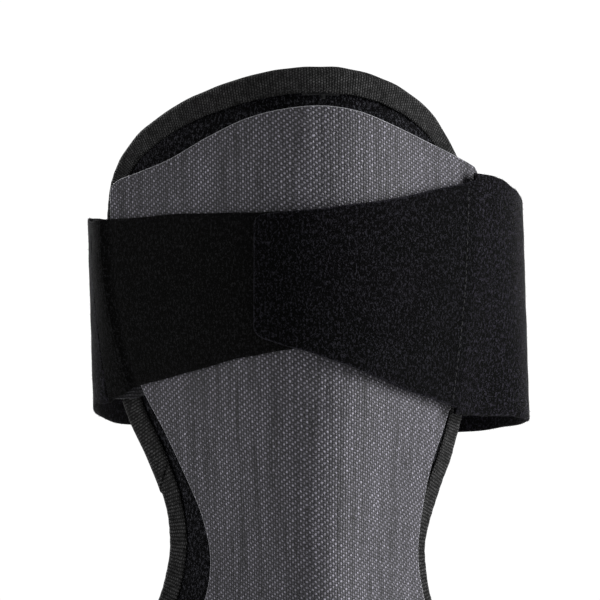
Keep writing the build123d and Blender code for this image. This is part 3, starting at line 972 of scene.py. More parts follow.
@dataclass
class Liner:
    """Padded liner: brushed loop front, foam, spacer-mesh back, bound round its rim with folded tape."""

    front: float = 4.7
    back: float = 10.35
    outline_depth: float = 6.5
    pad_inset: float = 3.2
    voxel: float = 3.4
    cap: float = 1.3
    frames: int = 20
    band: float = 9.8
    band_front: float = 4.05
    band_back: float = 11.15
    tape: float = 0.75
    seam_at: float = 8.5
    channel_at: tuple[float, float] = (-24.0, 22.0)
    channel_depth: float = 1.5
    channel_width: float = 2.2
    channel_run: tuple[float, float] = (-186.0, 66.0)
    channel_fade: float = 8.0
    pressure: float = 4.0
    slack: float = 0.55
    lap_run: tuple[float, float] = (-67.0, -37.0)
    up: int = 150
    across: int = 70
    rim: Rim = field(init=False)

    def build(self, finishes: Finishes) -> list[bpy.types.Object]:
        """Build the pad, the binding with its lap join, and the stitching.

        Args:
            finishes: the guard's finishes.

        Returns:
            The new pieces.
        """
        self.rim = Rim(LINER_OUTLINE, LINER_CORNERS, self.up, self.across, self.outline_depth)
        return [self.pad(finishes), self.binding(finishes), self.lap(finishes), self.stitches(finishes)]

    def pad(self, finishes: Finishes) -> bpy.types.Object:
        """Pad: a crowned closed form, swelled by cloth pressure and then sewn into channels at the back."""
        x, z = self.rim.fill(self.pad_inset)
        u = np.linspace(-1, 1, x.shape[1])[None, :]
        v = np.linspace(-1, 1, x.shape[0])[:, None]
        crown = np.sqrt(np.clip((1 - u**8) * (1 - v**12), 0, 1))
        mid = (self.front + self.back) / 2
        half = ((self.back - self.front) / 2 - 0.4) * (0.30 + 0.70 * crown)
        front, back = GUARD.point(x, z, mid - half), GUARD.point(x, z, mid + half)
        edge = np.stack([self.ring_of(grid) for grid in (front, back)])
        piece = Piece("liner_pad", "loop_face", "liner", [
            Patch(front, flat_uv(front)),
            Patch(edge, flat_uv(edge, False, True), round_second=True),
            Patch(back, flat_uv(back)),
        ])
        pad = piece.build([finishes.loop_face, finishes.mesh], sharp=180)
        pad = self.swell(pad)
        self.settle(pad)
        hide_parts("liner_loop_face", "liner_foam", "liner_back_mesh")
        return pad

    @staticmethod
    def ring_of(grid: Array) -> Array:
        """Closed ring of a grid's outside: up the left, along the top, down the right, back at the foot."""
        return np.vstack([grid[:-1, 0], grid[-1, :-1], grid[:0:-1, -1], grid[0, :0:-1]])

    def swell(self, pad: bpy.types.Object) -> bpy.types.Object:
        """Remesh the pad evenly and let cloth pressure swell it, each point moving no further than the cap.

        Args:
            pad: the pad as drawn.

        Returns:
            The same object, with its new mesh.
        """
        scene = bpy.context.scene
        voxels = pad.modifiers.new("even", "REMESH")
        voxels.mode, voxels.voxel_size = "VOXEL", self.voxel * MM
        bpy.context.view_layer.update()
        even = bpy.data.meshes.new_from_object(pad.evaluated_get(bpy.context.evaluated_depsgraph_get()))
        pad.modifiers.clear()
        rest = np.zeros(3 * len(even.vertices), np.float32)
        even.vertices.foreach_get("co", rest)
        rest = rest.reshape(-1, 3).astype(float)
        pad.data = even
        cloth = pad.modifiers.new("cloth", "CLOTH")
        cloth.settings.use_pressure = True
        cloth.settings.uniform_pressure_force = self.pressure
        cloth.settings.effector_weights.gravity = 0.0
        for number in range(1, self.frames + 1):
            scene.frame_set(number)
        swelled = bpy.data.meshes.new_from_object(pad.evaluated_get(bpy.context.evaluated_depsgraph_get()))
        pad.modifiers.clear()
        scene.frame_set(1)
        place = np.zeros(3 * len(swelled.vertices), np.float32)
        swelled.vertices.foreach_get("co", place)
        move = place.reshape(-1, 3).astype(float) - rest
        far = np.linalg.norm(move, axis=1, keepdims=True)
        move *= np.minimum(1.0, self.cap * MM / np.maximum(far, 1e-9))
        swelled.vertices.foreach_set("co", (rest + move).astype(np.float32).ravel())
        pad.data = swelled
        fine = pad.modifiers.new("fine", "SUBSURF")
        fine.levels = fine.render_levels = 1
        smooth = pad.modifiers.new("smooth", "SMOOTH")
        smooth.factor, smooth.iterations = 0.5, 4
        bpy.context.view_layer.update()
        done = bpy.data.meshes.new_from_object(pad.evaluated_get(bpy.context.evaluated_depsgraph_get()))
        pad.modifiers.clear()
        pad.data = done
        return pad

    def settle(self, pad: bpy.types.Object) -> None:
        """Keep the pad between its neighbours, sew its channels and give it texture lengths and two finishes.

        A point's depth is its distance behind the front face, (y - front y) times the normal's Y.  Each
        channel lowers the back by channel_depth exp(-(distance / width)^2).
        """
        mesh = pad.data
        flat = np.zeros(3 * len(mesh.vertices), np.float32)
        mesh.vertices.foreach_get("co", flat)
        points = flat.reshape(-1, 3).astype(float) / MM
        for _ in range(2):
            x, z = points[:, 0], points[:, 2]
            normal = GUARD.inward(x, z)
            depth = (points[:, 1] - GUARD.y(x, z)) * normal[:, 1]
            foot = points - normal * depth[:, None]
        girth = GUARD.girth(foot[:, 0], foot[:, 2])
        mid = (self.front + self.back) / 2
        groove = sum(np.exp(-(((girth - g) / self.channel_width) ** 2)) for g in self.channel_at)
        ends = pulse(foot[:, 2], *self.channel_run, self.channel_fade)
        depth = np.clip(depth, self.front - 0.3, self.back + self.slack)
        depth -= np.where(depth > mid, self.channel_depth * groove * ends, 0.0)
        points = foot + normal * depth[:, None]
        mesh.vertices.foreach_set("co", (points * MM).astype(np.float32).ravel())
        faces = len(mesh.polygons)
        centre = np.zeros(3 * faces, np.float32)
        mesh.polygons.foreach_get("center", centre)
        centre = centre.reshape(-1, 3).astype(float) / MM
        x, z = centre[:, 0], centre[:, 2]
        behind = (centre[:, 1] - GUARD.y(x, z)) * GUARD.inward(x, z)[:, 1]
        mesh.polygons.foreach_set("material_index", (behind > mid).astype(np.int32))
        mesh.polygons.foreach_set("use_smooth", np.ones(faces, bool))
        corner = np.zeros(len(mesh.loops), np.int32)
        mesh.loops.foreach_get("vertex_index", corner)
        layer = mesh.uv_layers.get("lengths") or mesh.uv_layers.new(name="lengths")
        lengths = np.stack([girth, points[:, 2]], axis=1)[corner]
        layer.data.foreach_set("uv", lengths.astype(np.float32).ravel())
        mesh.update()

    def section(self, outset: float = 0.0, steps: int = 9) -> Array:
        """Outer line of the folded tape, as (inset, depth): front leg, round fold and back leg.

        Args:
            outset: how far the line is moved out, for the lap over it.
            steps: points in each quarter of the fold.

        Returns:
            The points, from the front leg's inner edge to the back leg's.
        """
        mid, half = (self.band_front + self.band_back) / 2, (self.band_back - self.band_front) / 2
        turn = np.linspace(-np.pi / 2, np.pi / 2, 2 * steps + 1)
        fold = np.stack([3.1 - 3.1 * np.cos(turn), mid + half * np.sin(turn)], axis=1)
        leg = np.array([[1.0, 0.62], [0.985, 0.24], [0.93, 0.06], [0.80, 0.02], [0.62, 0.10], [0.46, 0.03]])
        front = np.stack([leg[:, 0] * self.band, self.band_front + leg[:, 1]], axis=1)
        back = np.stack([leg[:, 0] * self.band, self.band_back - leg[:, 1]], axis=1)[::-1]
        line = np.vstack([front, fold, back])
        return line + self.square(line) * outset

    @staticmethod
    def square(line: Array) -> Array:
        """Direction that points out of the fold at each point of its section."""
        along = np.gradient(line, axis=0)
        out = np.stack([-along[:, 1], along[:, 0]], axis=1)
        return out / np.linalg.norm(out, axis=1, keepdims=True)

    def binding(self, finishes: Finishes) -> bpy.types.Object:
        """Carry the tape's closed section round the rim: its outer line, and that line moved in."""
        outer = self.section()
        inner = outer - self.square(outer) * self.tape
        section = np.vstack([outer, inner[::-1]])
        n = len(self.rim.xz)
        out = np.vstack([self.square(outer), -self.square(outer)[::-1]])
        pucker = 0.07 * np.sin(2 * np.pi * self.rim.length / 3.0) + 0.16 * wander(self.rim.length, 23.0, 1.3)
        weight = np.concatenate([np.ones(len(outer)), np.zeros(len(inner))])
        insets = [np.full(n, a) + w * o * pucker for (a, _), (o, _), w in zip(section, out, weight)]
        depths = [np.full(n, d) + w * o * pucker for (_, d), (_, o), w in zip(section, out, weight)]
        grid = self.rim.rings(insets, depths)
        around = np.concatenate([[0], np.cumsum(np.linalg.norm(np.diff(section, axis=0), axis=1))])
        along = np.append(self.rim.length, self.rim.around)
        around = np.append(around, around[-1] + self.tape)
        uv = np.stack(np.broadcast_arrays(along[None, :], around[:, None]), axis=-1)
        piece = Piece("liner_binding_tape", "binding_tape", "liner")
        piece.patches.append(Patch(grid, uv, round_first=True, round_second=True))
        tape = piece.build([finishes.binding])
        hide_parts("liner_binding")
        return tape

    def lap(self, finishes: Finishes) -> bpy.types.Object:
        """Second layer of tape where the binding's ends lap, cut off aslant at its foot."""
        z = self.rim.xz[: self.up, 1]
        length = self.rim.length[: self.up]
        start, end = (float(np.interp(at, z, length)) for at in self.lap_run)
        outer, inner = self.section(self.tape * 0.75), self.section(0.02)
        section = np.vstack([outer, inner[::-1]])
        slant = 1.35 * (self.band - section[:, 0])
        steps = 60
        share = np.linspace(0, 1, steps)[None, :]
        where = (start - slant * 0.6 + 4)[:, None] * (1 - share) + end * share
        flat = np.stack([np.interp(where, length, self.rim.xz[: self.up, k]) for k in range(2)], axis=-1)
        out = np.stack([np.interp(where, length, self.rim.outward[: self.up, k]) for k in range(2)], axis=-1)
        xz = flat - out * section[:, :1, None]
        grid = GUARD.point(xz[..., 0], xz[..., 1], section[:, 1][:, None] + 0 * share)
        grid = np.concatenate([self.middle(grid[:, :1]), grid, self.middle(grid[:, -1:])], axis=1)
        where = np.concatenate([where[:, :1], where, where[:, -1:]], axis=1)
        along = closing(where, True, False)
        around = np.arange(len(along))[:, None] * 0.9
        uv = np.stack(np.broadcast_arrays(along, around), axis=-1)
        piece = Piece("binding_lap", "binding_tape", "liner", [Patch(grid, uv, round_first=True)])
        return piece.build([finishes.binding])

    @staticmethod
    def middle(ends: Array) -> Array:
        """Close a section: each point moves half-way to the one across the tape."""
        return (ends + ends[::-1]) / 2

    def stitches(self, finishes: Finishes) -> bpy.types.Object:
        """Rows that hold the binding's two legs, and the rows down the back's channels."""
        rows = Stitches("liner_stitches", "liner")
        x, z = self.rim.xz.T
        normal = GUARD.inward(x, z)
        for depth, way in ((self.band_front + 0.12, -1), (self.band_back - 0.12, 1)):
            rows.follow(self.rim.ring(self.seam_at, depth), normal * way, closed=True)
        low, high = self.channel_run
        height = np.linspace(low + 4, high - 4, 240)
        for g in self.channel_at:
            x = np.full_like(height, g)
            for _ in range(6):
                x = x + (g - GUARD.girth(x, height)) * 0.8
            line = GUARD.point(x, height, self.back + self.slack - self.channel_depth - 0.1)
            rows.follow(line, GUARD.inward(x, height))
        return rows.build(finishes)


# ---------------------------------------------------------------- strap

# The strap's places along its length, in one count: 0 at the front's middle, then left edge of the shell 1,
# left fold 2, back middle 3, right fold 4, right edge of the shell 5 and front's middle again 6.
LANDING_END, EDGE_LEFT, SEAM_LEFT, FOLD_LEFT = -44 / 60, 1.0, 1.5, 2.0
BACK_MIDDLE, FOLD_RIGHT, SEAM_RIGHT, TAB_TIP = 3.0, 4.0, 5.11, 6 + 22.2 / 60
# Millimetres of strap in one count: about this round the loop, and this over the shell's front.
ROUND_MM, FRONT_MM = 70.0, 60.0
EDGE_AT = (-94.0, -35.0, 4.0)
LEFT_EDGE = (38.0, 61.5, 71.0, 73.5)
RIGHT_EDGE = (38.0, 52.0, 59.0, 61.5)


@dataclass(frozen=True)
class Loop:
    """Course of the strap: over the front, off the shell's edges in a smooth curve, and round the back."""

    left: float = 77.9
    right: float = 82.2
    flare: float = 0.032
    back: float = 62.0
    side_y: float = 6.0
    front_step: float = FRONT_MM
    spare: float = 2.0
    roundness: float = 0.6

    def half(self, w: Array, z: Array) -> Array:
        """Half-width of the shell where the strap leaves it, with the strap's spare added."""
        left = smooth_through((*EDGE_AT, 43.0), LEFT_EDGE, z)
        right = smooth_through((*EDGE_AT, 43.0), RIGHT_EDGE, z)
        return np.where(w > 0, left, right) + self.spare

    def front(self, w: Array, z: Array) -> Array:
        """Front run: x = -60 w - (half-width - 60) w^3, which reaches the shell's edges at w = 1 and -1."""
        x = -self.front_step * w - (self.half(w, z) - self.front_step) * w**3
        return GUARD.point(x, z)

    def widest(self, way: float, z: Array) -> Array:
        """X of the fold on one side, which leans to the right going down by the flare."""
        return way * (self.right if way > 0 else self.left) - self.flare * z

    def side(self, way: float, t: Array, z: Array) -> Array:
        """Side run from the shell's edge to the fold: a cubic Bezier that leaves in line with the face."""
        loop_x = self.widest(way, z)
        edge_x = way * self.half(np.full_like(z, -way), z)
        edge = GUARD.point(edge_x, z)
        beyond = GUARD.point(edge_x + way, z)
        loop = np.stack(np.broadcast_arrays(loop_x, self.side_y, z), axis=-1)
        reach = np.linalg.norm(loop - edge, axis=-1, keepdims=True) / 3
        heading = beyond - edge
        heading /= np.linalg.norm(heading, axis=-1, keepdims=True)
        return bezier(edge, edge + reach * heading, loop - reach * np.array([0, 1.0, 0]), loop, t)

    def behind(self, way: float, t: Array, z: Array) -> Array:
        """Back run from the fold to the middle of the back: a cubic Bezier from along +Y to along X."""
        loop_x = self.widest(way, z)
        deep = self.side_y + self.roundness * (self.back - self.side_y)
        xs, ys = (loop_x, loop_x, self.roundness * loop_x, 0.0), (self.side_y, deep, self.back, self.back)
        return bezier(*(np.stack(np.broadcast_arrays(x, y, z), axis=-1) for x, y in zip(xs, ys)), t)

    def at(self, w: Array, z: Array) -> Array:
        """Point of the course at places w and heights z."""
        w, z = np.broadcast_arrays(np.where(w > 5, w - 6, w), z)
        runs = (
            self.front(np.clip(w, -1, 1), z), self.side(-1, w - 1, z), self.behind(-1, w - 2, z),
            self.behind(1, 4 - w, z), self.side(1, 5 - w, z),
        )
        which = np.clip(np.ceil(w) - 1, 0, 4).astype(int)
        return np.select([(which == k)[..., None] for k in range(5)], runs)

    def outward(self, w: Array, z: Array) -> Array:
        """Direction that points out of the loop: the cross product of its height and its course."""
        e = 0.004
        along = self.at(w + e, z) - self.at(w - e, z)
        up = self.at(w, z + 0.2) - self.at(w, z - 0.2)
        out = np.cross(up, along)
        return out / np.linalg.norm(out, axis=-1, keepdims=True)


def bezier(a: Array, b: Array, c: Array, d: Array, t: Array) -> Array:
    """Cubic Bezier with end points a and d."""
    t = t[..., None]
    return (1 - t) ** 3 * a + 3 * t * (1 - t) ** 2 * b + 3 * t**2 * (1 - t) * c + t**3 * d


COURSE = Loop()
Span = tuple[tuple[float, ...], tuple[float, ...]]


@dataclass
class Band:
    """One length of strap, with its heights and its lift off the course given along it.

    Attributes:
        name: name of the piece.
        slot: material slot.
        start: place where it starts.
        end: place where it ends.
        top: places and heights of its top edge.
        foot: places and heights of its lower edge.
        lift: places and lifts of its inner face.
        thickness: thickness of the fabric.
        corner: radius of the corners at its end.
        start_corner: radius of the corners at its start.
        hem: places between which a folded hem doubles it, or none.
        across: points across the fabric.
        step: distance between sections along it.
        seed: start of its slow waves.
        waves: height of the slow waves in its edges.
    """

    name: str
    slot: str
    start: float
    end: float
    top: Span
    foot: Span
    lift: Span
    thickness: float = 1.6
    corner: float = 0.0
    start_corner: float = 0.0
    hem: tuple[float, float] | None = None
    across: int = 44
    step: float = 1.3
    seed: float = 1.0
    waves: float = 0.35

    def edges(self, w: Array) -> tuple[Array, Array]:
        """Heights of the lower and top edges, with slow waves and any rounded corners at the ends."""
        run = w * ROUND_MM
        top = smooth_through(*self.top, w) + self.waves * wander(run, 31.0, self.seed)
        foot = smooth_through(*self.foot, w) + self.waves * wander(run, 27.0, self.seed + 2)
        pull = 0.0
        for place, radius in ((self.end, self.corner), (self.start, self.start_corner)):
            if radius:
                near = np.clip(np.abs(place - w) * FRONT_MM / radius, 0, 1)
                pull = pull + radius * (1 - np.sqrt(np.clip(1 - (1 - near) ** 2, 0, 1)))
        return foot + pull, top - pull

    def places(self) -> Array:
        """Places along the band, closer together at its ends."""
        count = max(12, int((self.end - self.start) * ROUND_MM / self.step))
        t = np.linspace(0, 1, count)
        ends = np.array([0.0, 0.15, 0.4, 0.8, 1.4, 2.2, 3.2]) / (ROUND_MM * (self.end - self.start))
        t = np.unique(np.concatenate([ends, t[(t > ends[-1]) & (t < 1 - ends[-1])], 1 - ends]))
        return self.start + t * (self.end - self.start)

    def surface(self, w: Array, z: Array, height: Array) -> Array:
        """Point at place w and height z, standing height above the band's inner face."""
        lift = smooth_through(*self.lift, w)
        return COURSE.at(w, z) + COURSE.outward(w, z) * (lift + height)[..., None]

    def fold(self, w: Array) -> Array:
        """Extra thickness of a hem: a quick rise to 0.85 between its two places, with a dip at each."""
        if self.hem is None:
            return 0 * w
        start, end = self.hem
        groove = sum(np.exp(-(((w - at) * ROUND_MM / 0.9) ** 2)) for at in (start, end))
        return 0.85 * pulse(w, start, end, 0.02) - 1.1 * groove

    def patch(self) -> Patch:
        """Closed grid of sections along the band, drawn to a middle line at both ends."""
        w = self.places()[:, None]
        foot, top = self.edges(w)
        turn = np.linspace(0, np.pi / 2, 5)
        r = self.thickness / 2
        bevel, rise = r * (1 - np.cos(turn)), 0.5 + 0.5 * np.sin(turn)
        flat = np.linspace(0, 1, self.across)[1:-1]
        inner = (top - foot) - 2 * r
        lower = foot + r
        rising, falling = [foot + b for b in bevel], [top - b for b in bevel[::-1]]
        z_out = np.concatenate([*rising, lower + flat * inner, *falling], axis=1)
        h_out = np.concatenate([rise, 0 * flat + 1, rise[::-1]])[None, :]
        z = np.concatenate([z_out, z_out[:, ::-1][:, 1:-1]], axis=1)
        h = np.concatenate([h_out, 1 - h_out[:, ::-1][:, 1:-1]], axis=1)
        end = np.minimum(np.abs(w - self.start), np.abs(self.end - w)) * FRONT_MM
        closing_in = np.sqrt(np.clip(1 - (1 - np.clip(end / 0.8, 0, 1)) ** 2, 0, 1))
        h = 0.5 + (h - 0.5) * closing_in
        thick = h * self.thickness + np.where(h > 0.5, self.fold(w) * closing_in, 0)
        soft = 0.10 * wander(z + 11 * w, 19.0, self.seed) * np.where(h > 0.5, 1, 0) * closing_in
        points = self.surface(np.broadcast_to(w, z.shape), z, thick + soft)
        steps = np.diff(points[:, len(flat) // 2], axis=0, prepend=points[:1, 0])
        run = np.cumsum(np.linalg.norm(steps, axis=1))
        uv = np.stack(np.broadcast_arrays(run[:, None], closing(z, False, True)), axis=-1)
        # Distance from the edges, which the tab's material reads to place its painted edge highlight.
        cut = np.abs(self.end - w) * FRONT_MM if self.corner else np.full_like(w, FAR_FROM_EDGE)
        from_edge = np.minimum(np.minimum(z - foot, top - z), cut)
        edge = np.where(thick > 0.4 * self.thickness, from_edge, FAR_FROM_EDGE)
        return Patch(points, uv, round_second=True, edge=edge)

    def fibres(self, per_mm: float, per_mm2: float, length: float) -> list[Array]:
        """Loose fibres of the pile, thick along both edges and thin over the outer face.

        Each is a sliver bent once: root, two points at half height and a tip, leaning in a seeded direction.

        Args:
            per_mm: fibres for each millimetre of both edges.
            per_mm2: fibres for each square millimetre of face.
            length: mean length of a fibre.

        Returns:
            Four arrays of points: the slivers' roots, one side, tips and other side.
        """
        draw = np.random.default_rng(SEED)
        run = (self.end - self.start) * ROUND_MM
        edge_count, face_count = int(run * per_mm * 2), int(run * 75 * per_mm2)
        count = edge_count + face_count
        w = draw.uniform(self.start + 0.004, self.end - 0.004, count)
        foot, top = self.edges(w)
        side = np.where(draw.uniform(size=count) < 0.5, 0.0, 1.0)
        share = np.concatenate([side[:edge_count], draw.uniform(size=face_count)])
        at_edge = np.arange(count) < edge_count
        z = foot + share * (top - foot)
        height = np.where(at_edge, draw.uniform(0.15, 0.95, count), 1.0) * self.thickness
        height += np.where(at_edge, 0, self.fold(w))
        z += np.where(at_edge, (0.5 - share) * 0.5, 0)
        root = self.surface(w, z, height)
        out = COURSE.outward(w, z)
        up = np.stack([0 * w, 0 * w, 2 * share - 1], axis=1)
        along = np.cross(out, np.array([0, 0, 1.0]))
        lean = draw.normal(size=(count, 2)) * 0.75
        tilt = draw.uniform(-0.5, 0.6, count)[:, None]
        stand = np.where(at_edge[:, None], up + out * tilt, out * 0.55)
        way = stand + along * lean[:, :1] + np.array([0, 0, 1.0]) * lean[:, 1:] * 0.8
        way /= np.linalg.norm(way, axis=1, keepdims=True)
        far = length * draw.uniform(0.35, 1.5, count)[:, None]
        bend = np.cross(way, draw.normal(size=(count, 3)))
        bend /= np.linalg.norm(bend, axis=1, keepdims=True)
        wide = 0.028 * draw.uniform(0.6, 1.3, count)[:, None]
        half = root + way * far * 0.5
        tip = root + way * far * 0.9 + bend * far * draw.uniform(0.1, 0.45, count)[:, None]
        across = np.cross(way, bend)
        return [root, half + across * wide, tip, half - across * wide]

    def build(self, finish: bpy.types.Material) -> bpy.types.Object:
        """Build the band as one closed piece."""
        return Piece(self.name, self.slot, "", [self.patch()]).build([finish], weld=0.003, sharp=60)


def fuzz(
    name: str, band: Band, finish: bpy.types.Material, amounts: tuple[float, float, float]
) -> bpy.types.Object:
    """One piece of loose fibres over a band.

    Args:
        name: the piece's name.
        band: band that carries the fibres.
        finish: material of the fibres.
        amounts: fibres for each millimetre of edge and each square millimetre of face, and their length.

    Returns:
        The piece, which is one four-sided sliver for each fibre.
    """
    corners = np.stack(band.fibres(*amounts), axis=1)
    faces = np.arange(4 * len(corners)).reshape(-1, 4)
    uv = np.tile(np.array([[0, 0], [0.1, 0.5], [0, 1], [-0.1, 0.5]]), (len(corners), 1))
    mesh = Piece.mesh(corners.reshape(-1, 3) * MM, faces, uv, np.zeros(len(faces), int))
    mesh.materials.append(finish)
    made = bpy.data.objects.new(name, mesh)
    bpy.context.scene.collection.objects.link(made)
    return made


@dataclass
class Strap:
    """One wide strap: sewn at the left, round the back, and stuck down over the front by its tab."""

    landing: Band = field(default_factory=lambda: Band(
        "landing_strap_loop", "strap_fabric", LANDING_END, SEAM_LEFT,
        ((LANDING_END, 0.35, 0.9, SEAM_LEFT), (29.6, 30.2, 30.6, 30.6)),
        ((LANDING_END, -0.1, 0.4, 0.75, EDGE_LEFT, SEAM_LEFT), (-13.0, -16.4, -21.2, -26.8, -31.5, -36.5)),
        ((LANDING_END, SEAM_LEFT), (0.35, 0.35)), hem=(0.985, 1.07), seed=4.0, start_corner=3.0,
    ))
    root: Band = field(default_factory=lambda: Band(
        "calf_strap_left", "strap_fabric", SEAM_LEFT, BACK_MIDDLE,
        ((SEAM_LEFT, 2.2, BACK_MIDDLE), (30.6, 33.4, 38.0)),
        ((SEAM_LEFT, 1.95, 2.35, BACK_MIDDLE), (-36.5, -38.4, -43.6, -46.0)),
        ((SEAM_LEFT, BACK_MIDDLE), (0.35, 0.35)), seed=2.0,
    ))
    wrap: Band = field(default_factory=lambda: Band(
        "calf_strap_right", "strap_fabric", BACK_MIDDLE, SEAM_RIGHT,
        ((BACK_MIDDLE, FOLD_RIGHT, 4.5, 4.9, SEAM_RIGHT), (38.0, 38.8, 42.8, 46.4, 47.2)),
        ((BACK_MIDDLE, 3.6, FOLD_RIGHT, SEAM_RIGHT), (-46.0, -46.4, -43.4, -41.0)),
        ((BACK_MIDDLE, FOLD_RIGHT, 4.95, SEAM_RIGHT), (0.35, 0.35, 3.15, 3.15)), seed=2.0,
    ))
    tab: Band = field(default_factory=lambda: Band(
        "strap_tab_loop", "tab_fabric", SEAM_RIGHT - 0.018, TAB_TIP,
        ((5.0, 5.12, 5.5, 6.0, TAB_TIP), (46.6, 44.0, 36.9, 31.2, 29.0)),
        ((5.0, 5.5, 5.95, 6.25, TAB_TIP), (-40.0, -33.0, -23.0, -16.6, -14.0)),
        ((SEAM_RIGHT, TAB_TIP), (3.15, 3.15)), corner=3.6, seed=7.0, waves=0.22,
    ))
    anchor: Band = field(default_factory=lambda: Band(
        "strap_anchor_web", "strap_fabric", 47 / 60, SEAM_LEFT - 0.01,
        ((47 / 60, SEAM_LEFT), (28.0, 28.0)), ((47 / 60, EDGE_LEFT, SEAM_LEFT), (-33.0, -35.0, -35.6)),
        ((47 / 60, 1.007, 1.25, SEAM_LEFT), (-3.7, -3.7, -2.2, -1.2)), thickness=1.2, seed=9.0, across=20,
    ))

    def build(self, finishes: Finishes) -> list[bpy.types.Object]:
        """Build the five lengths of strap, their stitching and their fuzz.

        Args:
            finishes: the guard's finishes.

        Returns:
            The new pieces.
        """
        landing = self.landing.build(finishes.landing)
        anchor = self.anchor.build(RibbedTape(
            "anchor_web", 1.2, (0.008, 0.008, 0.009), (0.075, 0.075, 0.085), Lie.SECOND).material())
        root, wrap = self.root.build(finishes.strap), self.wrap.build(finishes.strap)
        tab = self.tab.build(finishes.tab)
        dress(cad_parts["tab_hook"], finishes.hook)
        for piece, body in ((landing, "shell"), (anchor, "shell"), (tab, "tab")):
            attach(piece, body)
        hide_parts("landing_strap")
        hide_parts("strap_anchor")
        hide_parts("strap_tab")
        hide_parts("calf_strap_root", "calf_strap")
        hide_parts("calf_strap", "calf_strap_front")
        fluff = (7.0, 0.35, 0.62)
        left_fuzz = fuzz("left_fuzz", self.root, finishes.strap, fluff)
        right_fuzz = fuzz("right_fuzz", self.wrap, finishes.strap, fluff)
        landing_fuzz = fuzz("landing_fuzz", self.landing, finishes.landing, (5.0, 0.25, 0.5))
        tab_fuzz = fuzz("tab_fuzz", self.tab, finishes.tab, (3.0, 0.10, 0.32))
        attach(landing_fuzz, "shell")
        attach(tab_fuzz, "tab")
        for piece in (root, left_fuzz):
            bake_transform(piece)
        for piece in (wrap, right_fuzz):
            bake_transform(piece)
        seams = self.seams(finishes)
        return [landing, anchor, root, wrap, tab, left_fuzz, right_fuzz, landing_fuzz, tab_fuzz, *seams]

    def seams(self, finishes: Finishes) -> list[bpy.types.Object]:
        """Stitch rows: one across the landing's hem, one across the seam of the tab and the calf strap."""
        made = []
        for name, body, band, place in (
            ("hem_stitches", "shell", self.landing, 1.066), ("tab_stitches", "tab", self.tab, 5.155)
        ):
            stitches = Stitches(name, body, pitch=2.6, length=2.0)
            foot, top = (float(edge[0]) for edge in band.edges(np.array([place])))
            z = np.linspace(foot + 2.0, top - 2.0, 120)
            w = np.full_like(z, place)
            line = band.surface(w, z, band.thickness + band.fold(w) + 0.02)
            stitches.follow(line, COURSE.outward(w, z))
            made.append(stitches.build(finishes))
        return made


# ---------------------------------------------------------------- studio


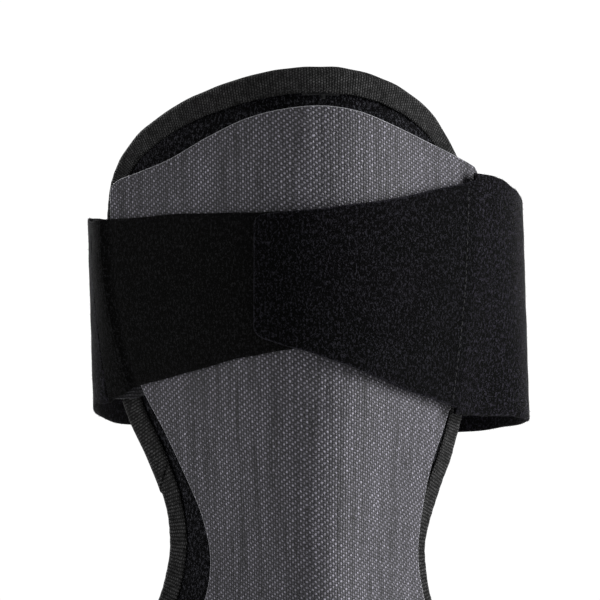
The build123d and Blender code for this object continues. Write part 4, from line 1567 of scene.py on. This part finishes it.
@dataclass
class Studio:
    """Pale floor, soft lamps and the camera.

    Attributes:
        azimuth: degrees that the camera stands round from the front.
        elevation: degrees that it stands above the strap.
        distance: distance from the aim, in metres.
        aim: point it looks at, in metres.
        lens: focal length, in millimetres.
        fill: strength of the surround as a source of light.
    """

    azimuth: float = -6.0
    elevation: float = -3.0
    distance: float = 1.300
    aim: tuple[float, float, float] = (-0.0055, -0.035, 0.0)
    lens: float = 214.5
    fill: float = 0.075

    def build(self) -> None:
        """Build the floor, the world, the lamps and the camera."""
        self.floor()
        self.world()
        self.lamp("key_right", (1.30, -0.50, 0.25), (0.60, 0.90), 30.0)
        self.lamp("fill_left", (-1.20, -0.30, 0.25), (0.5, 0.9), 6.0)
        self.lamp("top", (0.1, -0.25, 1.25), (0.9, 0.6), 4.0)
        self.lamp("back_left", (-0.7, 1.4, 0.5), (0.9, 0.9), 20.0)
        self.lamp("back_right", (0.8, 1.3, 0.1), (0.9, 0.9), 16.0)
        self.camera()
        bpy.context.scene.view_settings.view_transform = "Standard"

    def floor(self) -> None:
        """Round pale floor just below the guard's foot."""
        turn = np.linspace(0, 2 * np.pi, 129)[:-1]
        radius = np.array([0.0001, 0.4, 0.9, 1.6])[:, None]
        low = SOLID_BOX[0][2] - 0.001
        points = np.stack(np.broadcast_arrays(radius * np.cos(turn), radius * np.sin(turn), low), axis=-1)
        ring = np.arange(129)[None, :] * 0.1 + 0 * radius
        patch = Patch(points / MM, np.stack([ring, ring], axis=-1), round_second=True)
        piece = Piece("floor", "", "", [patch])
        s = Shader("floor_paper")
        tone = s.colours(s.noise(s.object_mm(), 0.01, 2.0), (0.86, 0.86, 0.86), (0.90, 0.90, 0.90))
        soft = {"Specular IOR Level": 0.1, "Emission Color": (1, 1, 1, 1), "Emission Strength": 0.14}
        piece.build([s.finish(tone, 0.9, None, 0.1, soft)])

    def world(self) -> None:
        """White surround for the eye, dimmer as a source of light so that the lamps shape the guard."""
        world = bpy.data.worlds.new("surround")
        world.use_nodes = True
        tree = world.node_tree
        tree.nodes.clear()
        seen, light = tree.nodes.new("ShaderNodeBackground"), tree.nodes.new("ShaderNodeBackground")
        seen.inputs["Color"].default_value = light.inputs["Color"].default_value = (1, 1, 1, 1)
        seen.inputs["Strength"].default_value, light.inputs["Strength"].default_value = 1.05, self.fill
        ray, mix = tree.nodes.new("ShaderNodeLightPath"), tree.nodes.new("ShaderNodeMixShader")
        out = tree.nodes.new("ShaderNodeOutputWorld")
        tree.links.new(ray.outputs["Is Camera Ray"], mix.inputs[0])
        tree.links.new(light.outputs[0], mix.inputs[1])
        tree.links.new(seen.outputs[0], mix.inputs[2])
        tree.links.new(mix.outputs[0], out.inputs["Surface"])
        bpy.context.scene.world = world

    def lamp(
        self, name: str, place: tuple[float, float, float], size: tuple[float, float], power: float
    ) -> None:
        """Rectangular lamp that faces the guard's middle.

        Args:
            name: the lamp's name.
            place: where it stands, in metres.
            size: its width and height, in metres.
            power: its power, in watts.
        """
        data = bpy.data.lights.new(name, "AREA")
        data.shape, data.size, data.size_y, data.energy = "RECTANGLE", *size, power
        lamp = bpy.data.objects.new(name, data)
        lamp.location = place
        lamp.rotation_euler = (Vector((0, 0, -0.03)) - Vector(place)).to_track_quat("-Z", "Y").to_euler()
        bpy.context.scene.collection.objects.link(lamp)

    def camera(self) -> None:
        """Camera a little to the left and below the strap, looking slightly up."""
        a, e = math.radians(self.azimuth), math.radians(self.elevation)
        back = Vector((math.sin(a) * math.cos(e), -math.cos(a) * math.cos(e), math.sin(e)))
        data = bpy.data.cameras.new("camera")
        data.lens, data.sensor_width = self.lens, 36.0
        data.clip_start, data.clip_end = 0.05, 20.0
        camera = bpy.data.objects.new("camera", data)
        camera.location = Vector(self.aim) + back * self.distance
        camera.rotation_euler = (-back).to_track_quat("-Z", "Y").to_euler()
        bpy.context.scene.collection.objects.link(camera)
        bpy.context.scene.camera = camera


def main() -> None:
    """Build the guard from the shell outwards, then the studio, and report each piece."""
    logging.basicConfig(level=logging.INFO, format="%(name)s: %(message)s")
    finishes = Finishes()
    for maker in (ShellPlate(), Liner(), Strap()):
        for piece in maker.build(finishes):
            mesh = piece.data
            LOG.info("%s: %s points, %s faces", piece.name, len(mesh.vertices), len(mesh.polygons))
    Studio().build()


if __name__ == "__main__":
    main()
